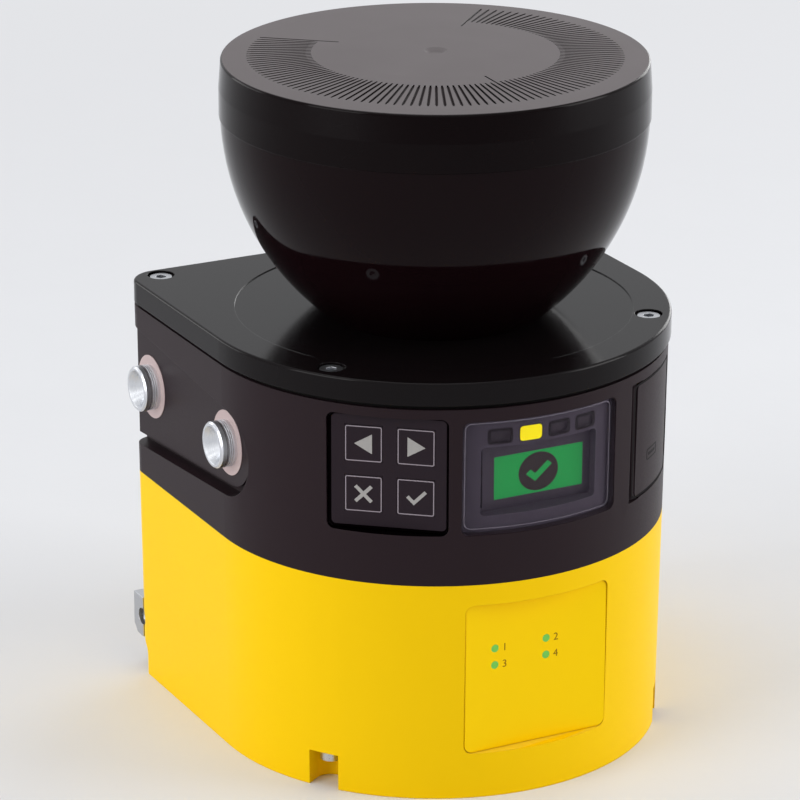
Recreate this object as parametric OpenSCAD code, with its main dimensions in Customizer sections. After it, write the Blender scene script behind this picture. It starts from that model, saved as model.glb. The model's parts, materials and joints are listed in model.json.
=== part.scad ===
// Safety laser scanner: a round-fronted housing in two castings, a dark optics cover with a
// spinning mirror inside, a four-key pad, a small display and a flap over the service socket.
// Millimetres, +Z up. The origin is on the scan axis at the base; the front faces -Y.

/* [Housing] */
// Height of the lower housing
lower_h = 53; // [48:0.5:60]
// Height of the upper housing
upper_h = 42.4; // [42.4:0.2:50]
// Radius of the round front at the base
base_r = 53.95; // [53.5:0.05:57]
// How much wider the castings are at the deck than at the base
draft = 1.05; // [0.6:0.05:1.4]
// Distance from the scan axis to the rear wall at the base
rear_y = 52.4; // [51.5:0.1:58]
// Radius of the upright rear corners
corner_r = 5; // [4.5:0.1:8]
// Wall thickness of both castings
wall = 3.2; // [2.6:0.1:4]
// Height of the set-in foot at the rear
foot_h = 8.6; // [7:0.1:8.8]
// How far the foot is set in from the rear wall
foot_inset = 5.5; // [3:0.1:7]
// Radius of the cove above the foot
foot_cove_r = 3.4; // [2:0.1:3.4]

/* [Lid] */
// Thickness of the lid
lid_t = 5.4; // [4.5:0.1:7]
// How far the lid's edge stands out over the castings
lid_overhang = 0.55; // [0.4:0.05:4]
// How far the lid's rear edge is set in from the castings' rear at the deck
lid_rear_inset = 0.35; // [-4:0.05:0.9]
// Radius of the lid's rear corners
lid_corner_r = 7; // [5:0.5:9]
// Radius of the rounded top edge
lid_edge_r = 0.6; // [0.3:0.1:1.2]
// Height of the gasket between the upper housing and the lid
gasket_t = 1.1; // [0.6:0.1:1.6]
// How far the gasket is set in from the wall
gasket_inset = 1; // [0.6:0.1:1.2]
// Width of the gasket
gasket_w = 1.6; // [1.2:0.1:1.7]
// Distance from the lid's edge to the shallow dish around the optics cover
dish_edge = 8.95; // [8.75:0.05:15]
// Depth of that dish
dish_depth = 0.2; // [0.1:0.05:0.5]
// Angle of the front lid screws from straight ahead
lid_screw_angle = 55; // [54:0.5:57]
// Distance of the front lid screws from the castings' edge at the deck
lid_screw_inset = 4.7; // [4.4:0.1:4.9]
// Diameter of the lid screws' heads
lid_head_d = 5.3; // [4.5:0.1:6]

/* [Optics cover] */
// Largest radius of the bowl
bowl_r = 49.5; // [44:0.1:50.5]
// Radius of the bowl's side curve
bowl_arc_r = 61.5; // [60:0.5:64]
// How far above its joint with the cap the bowl's side would stand upright
bowl_arc_rise = 1.6; // [0.6:0.1:3.6]
// Thickness of the cover's wall
cover_wall = 2.2; // [1.6:0.1:2.6]
// Height of the cap's upright band
band_h = 13.3; // [10:0.1:16]
// Height of the joint between bowl and cap above the lid
bowl_h = 46.5; // [45.1:0.1:47.1]
// How far the band stands proud of the bowl at its foot
band_proud = 0.25; // [0.1:0.05:0.5]
// Rise of the domed top from its edge to its centre
dome_rise = 1.4; // [0.5:0.1:3]
// Angle between two fan grooves
groove_pitch = 2.5; // [2.5:0.5:5]
// Angle that the fan of grooves covers
groove_span = 275; // [180:5:300]
// Width of one groove
groove_w = 0.42; // [0.3:0.02:0.6]
// Depth of one groove
groove_depth = 0.4; // [0.2:0.05:0.6]
// Inner end of the fan grooves
groove_in_r = 28.5; // [26:0.5:32]
// Outer end of the fan grooves
groove_out_r = 43.3; // [38:0.1:43.6]

/* [Keypad] */
// Angle of the keypad from straight ahead, negative towards the left
keypad_angle = -39; // [-40:0.5:-38]
// Side of the square keypad panel
keypad_size = 27.2; // [26.6:0.1:27.4]
// Depth of the keypad's face within the round front
keypad_inset = 1.45; // [1.15:0.05:1.95]
// Side of one key
key_size = 8.5; // [7:0.1:9]
// Distance between neighbouring keys
key_pitch = 12; // [11.6:0.1:12.2]
// Travel of a key
key_travel = 0.45; // [0.2:0.05:0.5]
// Gap between a key and its opening
key_gap = 0.12; // [0.08:0.01:0.2]

/* [Display] */
// Width of the display window
window_w = 39.4; // [38.6:0.1:40]
// Height of the display window
window_h = 27.3; // [26:0.1:27.6]
// Thickness of the display window
window_t = 1.6; // [1:0.1:2]
// Width of the screen module
screen_w = 26.5; // [22:0.1:28]
// Height of the screen module
screen_h = 14.5; // [11:0.1:14.8]
// Depth of the screen's face within the round front
screen_inset = 5.35; // [4.75:0.05:5.95]
// Width of a status light
light_w = 5.4; // [4:0.1:5.8]
// Height of a status light
light_h = 3.2; // [2.4:0.1:3.4]
// Distance between neighbouring status lights
light_pitch = 7.3; // [7:0.1:8]

/* [Service flap] */
// Angle of the flap's middle from straight ahead
flap_angle = 41.5; // [41:0.5:42]
// Width of the flap
flap_w = 24.2; // [23.4:0.1:24.6]
// Height of the flap
flap_h = 28; // [26:0.1:28]
// Thickness of the flap
flap_t = 1.8; // [1.4:0.1:2]
// Radius of the flap's hinge barrel
hinge_r = 1.5; // [1.3:0.05:1.6]
// Radius of the hinge pin
hinge_pin_r = 0.6; // [0.4:0.05:0.8]
// Width of the pocket behind the flap
pocket_w = 15.5; // [12:0.5:16]
// Height of the pocket behind the flap
pocket_h = 22; // [18:0.5:23]
// Depth of the pocket's floor within the round front
pocket_depth = 10.95; // [9.95:0.05:11.45]

/* [Side mounting] */
// How far the side pad is recessed from the side at the base
pad_inset = 0.85; // [0.55:0.05:1.15]
// Distance of the mounting bushes below the deck
bush_drop = 19.4; // [17.4:0.1:21.4]
// Place of the front bush along the depth
bush_front_y = 0.8; // [0:0.1:3]
// Distance of the rear bush from the rear wall
bush_rear_inset = 8.8; // [8.4:0.1:12.4]
// Outer diameter of a bush
bush_d = 11; // [10:0.1:12]
// How far a bush stands out of the side pad
bush_proud = 4.1; // [3:0.1:5]
// Core diameter of the thread in bushes and lugs
thread_d = 4.2; // [3.3:0.1:5]
// How far the rear lugs' outer faces are set in from the side at the base
lug_inset = 0.25; // [0:0.05:0.95]
// How far the lugs stand out behind the rear wall
lug_proud = 3.15; // [2.6:0.05:4.6]
// Height of the rear lugs
lug_h = 10.3; // [9:0.1:11]

/* [Network panel] */
// Width of the flat network panel
net_w = 37; // [32:0.1:38]
// Height of the flat network panel
net_h = 36.9; // [30:0.1:38]
// Depth of its face within the round front
net_inset = 2.95; // [2.55:0.05:3.15]
// Thickness of the panel
net_t = 0.8; // [0.5:0.1:1]
// Diameter of a network light
net_light_d = 1.9; // [1.4:0.1:2.4]

/* [Connections] */
// Distance between a lug and the connection recess in the rear
recess_gap = 6; // [5:0.5:7]
// Height of the connection recess
recess_h = 38; // [34:1:40]
// Depth from the rear wall to the connection module's face
recess_depth = 12; // [11:0.5:13]
// Distance between neighbouring connectors
plug_pitch = 21.5; // [20:0.5:22]
// Outer diameter of the connector threads
plug_d = 12; // [11:0.5:12]

/* [Rotor] */
// Inner radius of the hollow rotor shaft
shaft_in_r = 13; // [11:0.5:13.5]
// Outer radius of the hollow rotor shaft
shaft_r = 15; // [14.5:0.1:15.5]
// Radial clearance of the shaft in its bearings
shaft_fit = 0.05; // [0.02:0.01:0.09]
// Height of the middle of the mirror above the lid
mirror_rise = 25.1; // [23.1:0.1:26.1]
// Radius of the mirror holder
holder_r = 21; // [19:0.5:22]
// Thickness of the mirror
mirror_t = 2; // [1.5:0.1:3]

/* [Hidden] */
$fn = 96;

// Small overrun that lets a cut pass right through a face
over = 1;
// Gap between pieces that are fitted into each other and do not move
seat_gap = 0.15;

// Heights
deck_z = lower_h + upper_h;
lid_z = deck_z + gasket_t;
lid_top = lid_z + lid_t;
cover_z = lid_top - dish_depth;
band_z = lid_top + bowl_h;
bowl_arc_z = band_z + bowl_arc_rise;
cap_edge_z = band_z + band_h;
cap_top_z = cap_edge_z + dome_rise;
mirror_z = lid_top + mirror_rise;
bush_z = deck_z - bush_drop;

// Faces and edges that follow the castings' walls
lid_r = base_r + draft + lid_overhang;
lid_rear_y = rear_y + draft - lid_rear_inset;
lid_screw_r = base_r + draft - lid_screw_inset;
dish_r = lid_r - dish_edge;
keypad_r = base_r - keypad_inset;
screen_y = base_r - screen_inset;
pocket_floor_r = base_r - pocket_depth;
net_y = base_r - net_inset;
pad_x = base_r - pad_inset;
bush_rear_y = rear_y - bush_rear_inset;
lug_x = base_r - lug_inset;
lug_rear_y = rear_y + lug_proud;

// Colours
yellow = [0.97, 0.80, 0.02];
casting_black = [0.20, 0.17, 0.19];
gloss_black = [0.09, 0.07, 0.08];
rubber_black = [0.07, 0.07, 0.07];
steel = [0.78, 0.79, 0.80];
board_green = [0.10, 0.35, 0.20];

// Radius of the castings' wall at a height
function wall_r(z) = base_r + draft * z / deck_z;

// ---------------------------------------------------------------- shared forms

module rounded_rect(w, h, r) {
  square([w - 2 * r, h], center = true);
  square([w, h - 2 * r], center = true);
  for (x = [-1, 1], z = [-1, 1]) {
    translate([x * (w / 2 - r), z * (h / 2 - r)]) circle(r);
  }
}

// Upright prism that runs straight out of the housing at an angle, from r_in to r_out
module radial_prism(angle, w, h, z, r_in, r_out, r) {
  rotate([0, 0, angle])
    translate([0, -r_in, z])
      rotate([90, 0, 0])
        linear_extrude(r_out - r_in) rounded_rect(w, h, r);
}

// The castings' outer form between two heights, moved inwards by inset: a round front,
// flat sides and rear, and round rear corners, all widening upwards with the draft
module drafted(z0, z1, inset = 0, rear = rear_y) {
  h = z1 - z0;
  low = wall_r(z0) - inset;
  high = wall_r(z1) - inset;
  corner_x = base_r - corner_r;
  corner_y = rear - corner_r;
  corner_low = low - corner_x;
  corner_high = high - corner_x;
  translate([0, 0, z0]) {
    intersection() {
      rotate([0, 0, 90]) cylinder(h = h, r1 = low, r2 = high);
      translate([-lid_r, -lid_r, 0]) cube([2 * lid_r, lid_r + corner_y, h]);
    }
    translate([0, corner_y, 0])
      rotate([90, 0, 0])
        linear_extrude(corner_y) polygon([[-low, 0], [low, 0], [high, h], [-high, h]]);
    translate([-corner_x, 0, 0])
      rotate([90, 0, 90])
        linear_extrude(2 * corner_x)
          polygon([[0, 0], [corner_y + corner_low, 0], [corner_y + corner_high, h], [0, h]]);
    for (side = [-1, 1]) {
      translate([side * corner_x, corner_y, 0])
        rotate([0, 0, -90 - side * 45])
          cylinder(h = h, r1 = corner_low, r2 = corner_high);
    }
  }
}

// Countersunk screw with a six-point socket, head up, its top at the origin
module countersunk_screw(head_d, shank_d, length) {
  difference() {
    union() {
      translate([0, 0, -head_rim]) cylinder(h = head_rim, d = head_d);
      translate([0, 0, -head_rim - head_cone]) cylinder(h = head_cone, d1 = shank_d, d2 = head_d);
      translate([0, 0, -length]) cylinder(h = length - head_rim, d = shank_d);
    }
    translate([0, 0, -head_cone]) cylinder(h = head_cone + over, d = head_d * 0.5, $fn = 6);
  }
}

// Cheese-head screw standing on its head, the head's foot at the origin
module hanging_screw(head_d, head_h, shank_d, length) {
  difference() {
    union() {
      cylinder(h = head_h, d = head_d);
      cylinder(h = length, d = shank_d);
    }
    translate([0, 0, -over]) cylinder(h = over + head_h * 0.6, d = head_d * 0.5, $fn = 6);
  }
}

// ---------------------------------------------------------------- places and small sizes

// Screws through the lower housing, the front ones in pockets that are open to the outside
foot_pocket_r = 3.75;
foot_pocket_h = 8.6;
front_screw_r = base_r - 3.55;
front_screw_angle = 55.3;
rear_screw_x = base_r - 7.45;
rear_screw_y = rear_y - 16.4;
house_head_d = 5;
house_head_h = 2.5;
house_shank_d = 3;
house_screw_bite = 6;
column_r = 5.4;
screw_play = 0.3;
head_rim = 0.4;
head_cone = 1.6;

// Gasket groove between the castings
ring_inset = 1;
ring_w = 1.2;
ring_h = 0.8;

// Rear lugs
lug_w = 13.7;
lug_front_y = rear_y - 8.4;
lug_root_x = lug_x - 1.7;
lug_step_y = rear_y - 2.2;
lug_hole_y = rear_y - 1.6;
lug_hole_z = foot_h + 5.2;
lug_hole_play = 1;
lug_chamfer = 2;
lug_block_y = rear_y - 12.4;

// Network panel
net_top_gap = 5.1;
net_z = lower_h - net_top_gap - net_h / 2;
net_backing = 3;
net_backing_edge = 3;
net_corner = 2;
net_light_x = [-10.75, 2.6];
net_light_z = [net_z + 2.45, net_z + 6.55];
board_t = 1.6;
net_board_gap = 1.2;
net_board_edge = 2;
net_spacer_edge_x = 3;
net_spacer_edge_z = 5;
net_spacer_d = 3.6;
net_chip_d = 2.4;
net_chip_h = 0.96;

// Connection recess and module
recess_w = 2 * (lug_x - lug_w - recess_gap);
lug_block_x = recess_w / 2;
recess_z = 4;
recess_top = recess_z + recess_h;
module_depth = 7;
module_y = rear_y - recess_depth;
recess_wall = 2.4;
module_corner = 1;
module_screw_edge = 4.5;
module_screw_x = recess_w / 2 - module_screw_edge;
module_screw_z = recess_h / 2 - module_screw_edge;
module_head_d = 5;
module_head_h = 1.8;
module_head_play = 0.4;
module_head_sink = 2;
module_socket_d = 2.5;
module_socket_floor = 0.6;

// Round connectors
plug_z = recess_z + recess_h / 2;
plug_len = 9;
plug_nut_d = 17;
plug_nut_h = 2.5;
plug_wall = 1.1;
plug_cup = 8;
plug_floor_z = plug_nut_h + plug_len - plug_cup;
contact_pins = 8;
contact_pin_d = 0.8;
contact_pin_r = 2.75;
contact_pin_len = 6.5;
insert_gap = 0.7;
insert_len = 7.4;
contact_holes = 4;
contact_hole_d = 1;
contact_hole_r = 2.5;
contact_floor = 2;

// Lid screws
lid_rear_screw_x = lid_r - 7.55;
lid_rear_screw_y = lid_rear_y - 4.5;
lid_shank_d = 3;
lid_screw_len = 15;
lid_head_sunk = 0.4;
lid_head_ring = 0.45;
lid_column_r = 3.4;
lid_column_h = 14;

// Keypad
keypad_z = deck_z - 16.25;
keypad_t = 2.4;
keypad_floor_t = 1.6;
keypad_edge_gap = 0.4;
keypad_corner = 1.4;
keypad_backing_w = 3;
keypad_backing_h = 2;
backing_corner = 2;
key_shift = 0.4;
key_rise = 0.7;
key_lip = 1.2;
key_flange = 0.7;
key_flange_t = 0.6;
key_stem_d = 3;
dome_d = 5;
dome_top_d = 3;
dome_h = 0.85;
dome_play = 0.05;
key_hole_d = 6;
keypad_board_w = 20;
keypad_board_h = 24;
board_corner = 1;

// Display
display_z = deck_z - 16.75;
window_corner = 1.8;
window_inset = 0.2;
tray_gap = 0.15;
tray_back_y = base_r - 7.95;
bezel_w = 29.5;
bezel_h = 16.4;
bezel_depth = 0.4;
bezel_corner = 1;
screen_corner = 0.3;
screen_z = display_z - 1.5;
light_z = display_z + 9.25;
light_shift = 0.45;
light_drop = 0.5;
light_corner = 0.5;
display_board_w = 37;
display_board_h = 26;

// Service flap
flap_z = deck_z - 16.9;
flap_gap = 0.3;
flap_inset = 0.1;
flap_corner = 1.6;
hinge_fit = 0.05;
hinge_sink = 0.15;
hinge_end_gap = 0.4;
hinge_ease = 0.1;
pin_bite = 1.6;
pocket_turn = -1.5;
pocket_edge = 4;
pocket_floor_t = 2.4;
grip_h = 12.5;
grip_w = 2.4;
grip_depth = 2.6;
grip_z = flap_z - 5.5;
socket_w = 4.4;
socket_h = 8.6;
socket_len = 4.2;
socket_wall = 0.4;
socket_back = 1;
socket_corner = 0.6;
tongue_w = 1.1;
tongue_edge = 1.5;
tongue_drop = 0.6;

// Side pads and bushes
pad_round_r = 10.7;
pad_front_y = -0.5;
pad_mid_z = deck_z - 20.8;
pad_top_rise = 5.3;
pad_bottom_fall = 4.4;
pad_groove_h = 2.2;
pad_groove_x = pad_x - 2.5;
bush_root_d = 9.2;
bush_root_len = 8;
bush_mouth_d = 9;
bush_mouth_len = 3.2;
bush_relief = 0.8;
bush_chamfer = 0.4;
bush_grooves = 3;
bush_groove_z = 0.9;
bush_groove_step = 0.5;
bush_groove_w = 0.2;
bush_ring_d = 15.4;
bush_ring_t = 0.15;

// Cavity of the upper housing between its solid side rails
rail_x = pad_x - bush_root_len - 1.6;
frame_rail_x = pad_x - 7.1;
frame_z = deck_z - 7.4;
frame_t = 3;
frame_edge = 2.2;

// Optics cover
cover_foot_r = 22.8;
cover_foot_h = 2.4;
cover_seal_r = 24;
cover_seal_w = 1.4;
cover_seal_h = 0.8;
cover_lip_h = 2;
cap_taper = 0.45;
cap_round = 0.6;
cap_t = 2.2;
dimple_d = 5.5;
dimple_depth = 0.7;
groove_end_in = 6;
groove_end_out = 1;
groove_longer = 4.8;

// Optics inside
lid_hole_r = 22.6;
tube_r = 22;
tube_in_r = 20;
tube_z = deck_z - 15.4;
tube_top = lid_top + 1.7;
bearing_h = 4;
bearing_race = 1.6;
bearing_groove = 0.5;
bearing_low_z = tube_z + 1.5;
bearing_high_z = tube_top - bearing_h - 0.5;
shaft_z = deck_z - 21.4;
shaft_flange_z = tube_top + 2;
shaft_flange_h = 2.5;
holder_z = shaft_flange_z + shaft_flange_h;
cheek_t = 3.5;
mirror_gap = 0.3;
mirror_edge = 0.2;
mirror_top_edge = 5;
stator_r = 27.5;
stator_slot_depth = 4;
stator_slot_w = 1.6;
bell_r = 30.4;
bell_in_r = 28;
bell_z = deck_z - 18.4;
bell_t = 2;
bell_gap = 1;
encoder_r = 34;
encoder_t = 1.2;
encoder_slot_edge = 0.8;
encoder_slot_len = 2;
encoder_slot_w = 1.8;
sensor_gap = 1;
sensor_arm_t = 1.8;
sensor_w = 8;
sensor_t = 4;
sensor_edge = 1.5;
barrel_z = deck_z - 39.4;
barrel_base_r = rail_x - 2.5;
barrel_base_t = 2.5;
barrel_r = 19;
barrel_in_r = 17;
barrel_top = barrel_z + 16;
barrel_hole_edge = 1;
lens_seat_t = 2;
lens_seat_w = 1.5;
post_r = barrel_base_r - 3;
post_d = 5;
lens_z = barrel_z + 10;
lens_t = 3.5;
lens_bulge = 2;
lens_edge = 0.1;
lens_hole_edge = 0.4;
laser_d = 7.2;
laser_len = 15;
laser_mouth_d = 4.2;
laser_mouth_depth = 2;

// Main board
main_board_w = 2 * (base_r - 21.95);
main_board_front = base_r - 17.95;
main_board_rear = module_y - module_depth - recess_wall - 5;
spacer_h = 5;
spacer_d = 5;
spacer_edge_x = 4;
spacer_edge_y = 6;
chip_places = [[-11, -16], [12, -14], [-24, 6]];
chip_sizes = [[17, 17, 2], [11, 11, 1.6], [14, 9, 2.4]];
capacitor_x = [10, 17, 24];
capacitor_y = 12;
capacitor_d = 6;
capacitor_h = 9;

// ---------------------------------------------------------------- derived places

window_r = wall_r(display_z);
keypad_back_r = keypad_r - keypad_t;
keypad_board_r = keypad_back_r - keypad_floor_t;
flap_bottom = flap_z - flap_h / 2;
hinge_axis_r = wall_r(flap_bottom) - flap_inset - hinge_r - hinge_sink;
hinge_swing_r = wall_r(flap_z + flap_h / 2) - flap_inset - hinge_axis_r + flap_gap;
hinge_angle = flap_angle - asin((flap_w / 2 - hinge_r) / hinge_axis_r);
pocket_angle = flap_angle + pocket_turn;

// ---------------------------------------------------------------- lower housing

module at_house_screws() {
  for (side = [-1, 1]) {
    rotate([0, 0, side * front_screw_angle]) translate([0, -front_screw_r, 0]) children();
    translate([side * rear_screw_x, rear_screw_y, 0]) children();
  }
}

// Round pocket for a screw's head, its opening downwards
module foot_pocket() {
  translate([0, 0, -over]) cylinder(h = foot_pocket_h + over, r = foot_pocket_r);
}

// Straight way from a front pocket out through the wall
module front_pocket_ways() {
  for (side = [-1, 1]) {
    rotate([0, 0, side * front_screw_angle])
      translate([-foot_pocket_r, -lid_r, -over])
        cube([2 * foot_pocket_r, lid_r - front_screw_r, foot_pocket_h + over]);
  }
}

module at_net_lights() {
  for (x = net_light_x, z = net_light_z) {
    translate([x, 0, z]) rotate([90, 0, 0]) children();
  }
}

// Space cut away behind and below the rear wall, with a cove along its top
module foot_step() {
  width = 2 * lid_r + 2 * over;
  foot_y = rear_y - foot_inset;
  difference() {
    translate([-width / 2, foot_y, -over])
      cube([width, foot_inset + draft + over, foot_h + over]);
    translate([-width / 2, foot_y, foot_h - foot_cove_r])
      rotate([90, 0, 90])
        linear_extrude(width)
          difference() {
            translate([-over, 0]) square([foot_cove_r + over, foot_cove_r + over]);
            translate([foot_cove_r, 0]) circle(foot_cove_r);
          }
  }
}

// The network panel's outline as a prism between two distances from the scan axis
module net_prism(edge, r_in, r_out) {
  radial_prism(0, net_w + 2 * edge, net_h + 2 * edge, net_z, r_in, r_out, net_corner);
}

// Solid block that the connection recess is cut into
module recess_block() {
  front = module_y - module_depth - recess_wall;
  translate([-recess_w / 2 - recess_wall, front, 0])
    cube([recess_w + 2 * recess_wall, lid_rear_y - front, recess_top + recess_wall]);
}

module recess_space() {
  front = module_y - module_depth;
  translate([-recess_w / 2, front, recess_z]) cube([recess_w, lid_rear_y - front + over, recess_h]);
}

// One lug of the right side: a narrow root inside the corner and a full head behind it
module lug_form() {
  inner_x = lug_x - lug_w;
  translate([inner_x, lug_front_y, foot_h]) cube([lug_root_x - inner_x, lug_step_y - lug_front_y, lug_h]);
  translate([inner_x, lug_step_y, foot_h])
    rotate([90, 0, 90])
      linear_extrude(lug_w)
        polygon([
          [0, 0], [lug_rear_y - lug_step_y - lug_chamfer, 0],
          [lug_rear_y - lug_step_y, lug_chamfer], [lug_rear_y - lug_step_y, lug_h], [0, lug_h]
        ]);
}

// Solid corner that holds a lug's root
module lug_block() {
  translate([lug_block_x, lug_block_y, 0])
    cube([lid_r - lug_block_x, lid_rear_y - lug_block_y, foot_h + lug_h + wall]);
}

// Room for a lug in the right rear corner, open outwards behind the step
module lug_space() {
  lug_form();
  translate([lug_x - lug_w, lug_step_y, foot_h])
    cube([lug_w + 2 * over, lug_rear_y - lug_step_y, lug_h]);
  translate([lug_root_x, lug_hole_y, lug_hole_z])
    rotate([0, 90, 0]) cylinder(h = 2 * over + draft, d = thread_d + lug_hole_play);
}

module lower_housing() {
  color(yellow)
    difference() {
      union() {
        difference() {
          drafted(0, lower_h);
          drafted(wall, lower_h + over, wall);
          foot_step();
        }
        intersection() {
          drafted(0, lower_h);
          difference() {
            union() {
              at_house_screws() cylinder(h = lower_h, r = column_r);
              net_prism(net_backing_edge, net_y - net_t - net_backing, lid_r);
              recess_block();
              for (side = [0, 1]) mirror([side, 0, 0]) lug_block();
            }
            foot_step();
          }
        }
      }
      net_prism(0, net_y - net_t, lid_r);
      at_net_lights() cylinder(h = lid_r, d = net_light_d);
      at_house_screws() {
        foot_pocket();
        cylinder(h = lower_h + over, d = house_shank_d + screw_play);
      }
      front_pocket_ways();
      recess_space();
      for (side = [0, 1]) mirror([side, 0, 0]) lug_space();
      ring_form();
    }
}

// Gasket ring in the top face of the lower housing
module ring_form() {
  difference() {
    drafted(lower_h - ring_h, lower_h + over, ring_inset);
    drafted(lower_h - ring_h - over, lower_h + 2 * over, ring_inset + ring_w);
  }
}

module middle_gasket() {
  color(rubber_black)
    intersection() {
      ring_form();
      translate([-lid_r, -lid_r, 0]) cube([2 * lid_r, 2 * lid_r, lower_h]);
    }
}

module housing_screws() {
  color(steel)
    at_house_screws()
      translate([0, 0, foot_pocket_h - house_head_h])
        hanging_screw(house_head_d, house_head_h, house_shank_d,
                      lower_h + house_screw_bite - foot_pocket_h + house_head_h);
}

module right_lug() {
  color(steel)
    difference() {
      lug_form();
      translate([lug_x - lug_w - over, lug_hole_y, lug_hole_z])
        rotate([0, 90, 0]) cylinder(h = lug_w + 2 * over, d = thread_d);
    }
}

module left_lug() {
  mirror([1, 0, 0]) right_lug();
}

// ---------------------------------------------------------------- upper housing

// Side pad seen from the side, y across and z up: a wedge with a round front end
module pad_outline() {
  top = pad_top_rise;
  low = pad_bottom_fall;
  run = lid_rear_y + over - pad_front_y;
  top_y = pad_front_y - pad_round_r * sin(top);
  low_y = pad_front_y - pad_round_r * sin(low);
  top_z = pad_mid_z + pad_round_r * cos(top);
  low_z = pad_mid_z - pad_round_r * cos(low);
  translate([pad_front_y, pad_mid_z]) circle(pad_round_r);
  polygon([
    [top_y, top_z], [top_y + run, top_z + run * tan(top)],
    [low_y + run, low_z - run * tan(low)], [low_y, low_z]
  ]);
}

// Side pad and the deeper groove along its foot, on the right side
module pad_space() {
  translate([pad_x, 0, 0]) rotate([90, 0, 90]) linear_extrude(lid_r) pad_outline();
  translate([pad_groove_x, 0, 0])
    rotate([90, 0, 90])
      linear_extrude(lid_r)
        difference() {
          pad_outline();
          translate([0, pad_groove_h]) pad_outline();
        }
}

module at_keys() {
  for (x = [-1, 1], z = [-1, 1]) at_key(x, z) children();
}

// Puts its children at one key's place, with y = 0 on the panel's face and +Y into the housing
module at_key(column, row) {
  rotate([0, 0, keypad_angle])
    translate([
      key_shift + column * key_pitch / 2, -keypad_r,
      keypad_z + key_rise + row * key_pitch / 2
    ])
      children();
}

module at_lid_screws() {
  for (side = [-1, 1]) {
    rotate([0, 0, side * lid_screw_angle]) translate([0, -lid_screw_r, 0]) children();
    translate([side * lid_rear_screw_x, lid_rear_screw_y, 0]) children();
  }
}

module at_bushes() {
  for (y = [bush_front_y, bush_rear_y], side = [0, 1]) {
    mirror([side, 0, 0]) translate([pad_x, y, bush_z]) rotate([0, 90, 0]) children();
  }
}

// The flap's outline as a prism between two distances from the scan axis
module flap_prism(edge, r_in, r_out) {
  radial_prism(flap_angle, flap_w + 2 * edge, flap_h + 2 * edge, flap_z, r_in, r_out, flap_corner);
}

module at_hinge() {
  rotate([0, 0, hinge_angle]) translate([0, -hinge_axis_r, flap_bottom]) children();
}

// Finger grip beside the flap's free edge
module grip_space() {
  grip_angle = flap_angle + asin((flap_w / 2 + flap_gap) / window_r);
  radial_prism(grip_angle, 2 * grip_w, grip_h, grip_z, window_r - grip_depth, lid_r, grip_w * 0.9);
}

module flap_space() {
  difference() {
    flap_prism(flap_gap, pocket_floor_r, lid_r + over);
    drafted(lower_h, deck_z, flap_inset + flap_t + flap_gap / 3);
  }
  radial_prism(pocket_angle, pocket_w, pocket_h, flap_z, pocket_floor_r, lid_r, flap_corner);
  at_hinge() {
    translate([0, 0, -hinge_end_gap]) cylinder(h = flap_h + 2 * hinge_end_gap, r = hinge_swing_r);
    translate([0, 0, -pin_bite]) cylinder(h = flap_h + 2 * pin_bite, r = hinge_pin_r);
  }
  radial_prism(hinge_angle, 2 * (hinge_swing_r + hinge_ease), flap_h + 2 * (hinge_end_gap + hinge_ease),
               flap_z, hinge_axis_r + hinge_pin_r, lid_r, flap_gap);
  grip_space();
  radial_prism(pocket_angle, socket_w, socket_h, flap_z, pocket_floor_r - pocket_floor_t - over,
               lid_r, socket_corner);
}

// Solid backing inside the wall for the keypad, the flap's pocket and the screws
module upper_bosses() {
  radial_prism(keypad_angle, keypad_size + 2 * keypad_backing_w, keypad_size + 2 * keypad_backing_h,
               keypad_z, keypad_board_r, lid_r, backing_corner);
  radial_prism(pocket_angle, pocket_w + 2 * pocket_edge, pocket_h + 2 * pocket_edge, flap_z,
               pocket_floor_r - pocket_floor_t, lid_r, backing_corner);
  at_lid_screws()
    translate([0, 0, deck_z - lid_column_h]) cylinder(h = lid_column_h + 2 * over, r = lid_column_r);
  at_house_screws()
    translate([0, 0, lower_h - 2 * over])
      cylinder(h = house_screw_bite + wall + 2 * over, r = column_r);
}

module upper_cavity() {
  intersection() {
    drafted(lower_h - over, deck_z + over, wall);
    union() {
      translate([-rail_x, -lid_r, lower_h - over]) cube([2 * rail_x, 2 * lid_r, upper_h + 2 * over]);
      translate([-frame_rail_x, -lid_r, frame_z])
        cube([2 * frame_rail_x, lid_r + barrel_base_r + over, upper_h]);
    }
  }
}

module upper_housing() {
  color(casting_black)
    difference() {
      drafted(lower_h, deck_z);
      difference() {
        upper_cavity();
        upper_bosses();
      }
      for (side = [0, 1]) mirror([side, 0, 0]) pad_space();
      radial_prism(keypad_angle, keypad_size + 2 * keypad_edge_gap, keypad_size + 2 * keypad_edge_gap,
                   keypad_z, keypad_back_r, lid_r, keypad_corner + keypad_edge_gap);
      at_keys() rotate([-90, 0, 0]) cylinder(h = keypad_r - keypad_board_r + over, d = key_hole_d);
      radial_prism(0, window_w, window_h, display_z, tray_back_y, lid_r, window_corner);
      flap_space();
      at_lid_screws()
        translate([0, 0, lid_top - lid_screw_len]) cylinder(h = lid_screw_len, d = lid_shank_d);
      at_house_screws()
        translate([0, 0, lower_h - over]) cylinder(h = house_screw_bite + over, d = house_shank_d);
      at_bushes()
        translate([0, 0, -bush_root_len]) cylinder(h = bush_root_len + over, d = bush_root_d, $fn = 6);
    }
}

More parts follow.
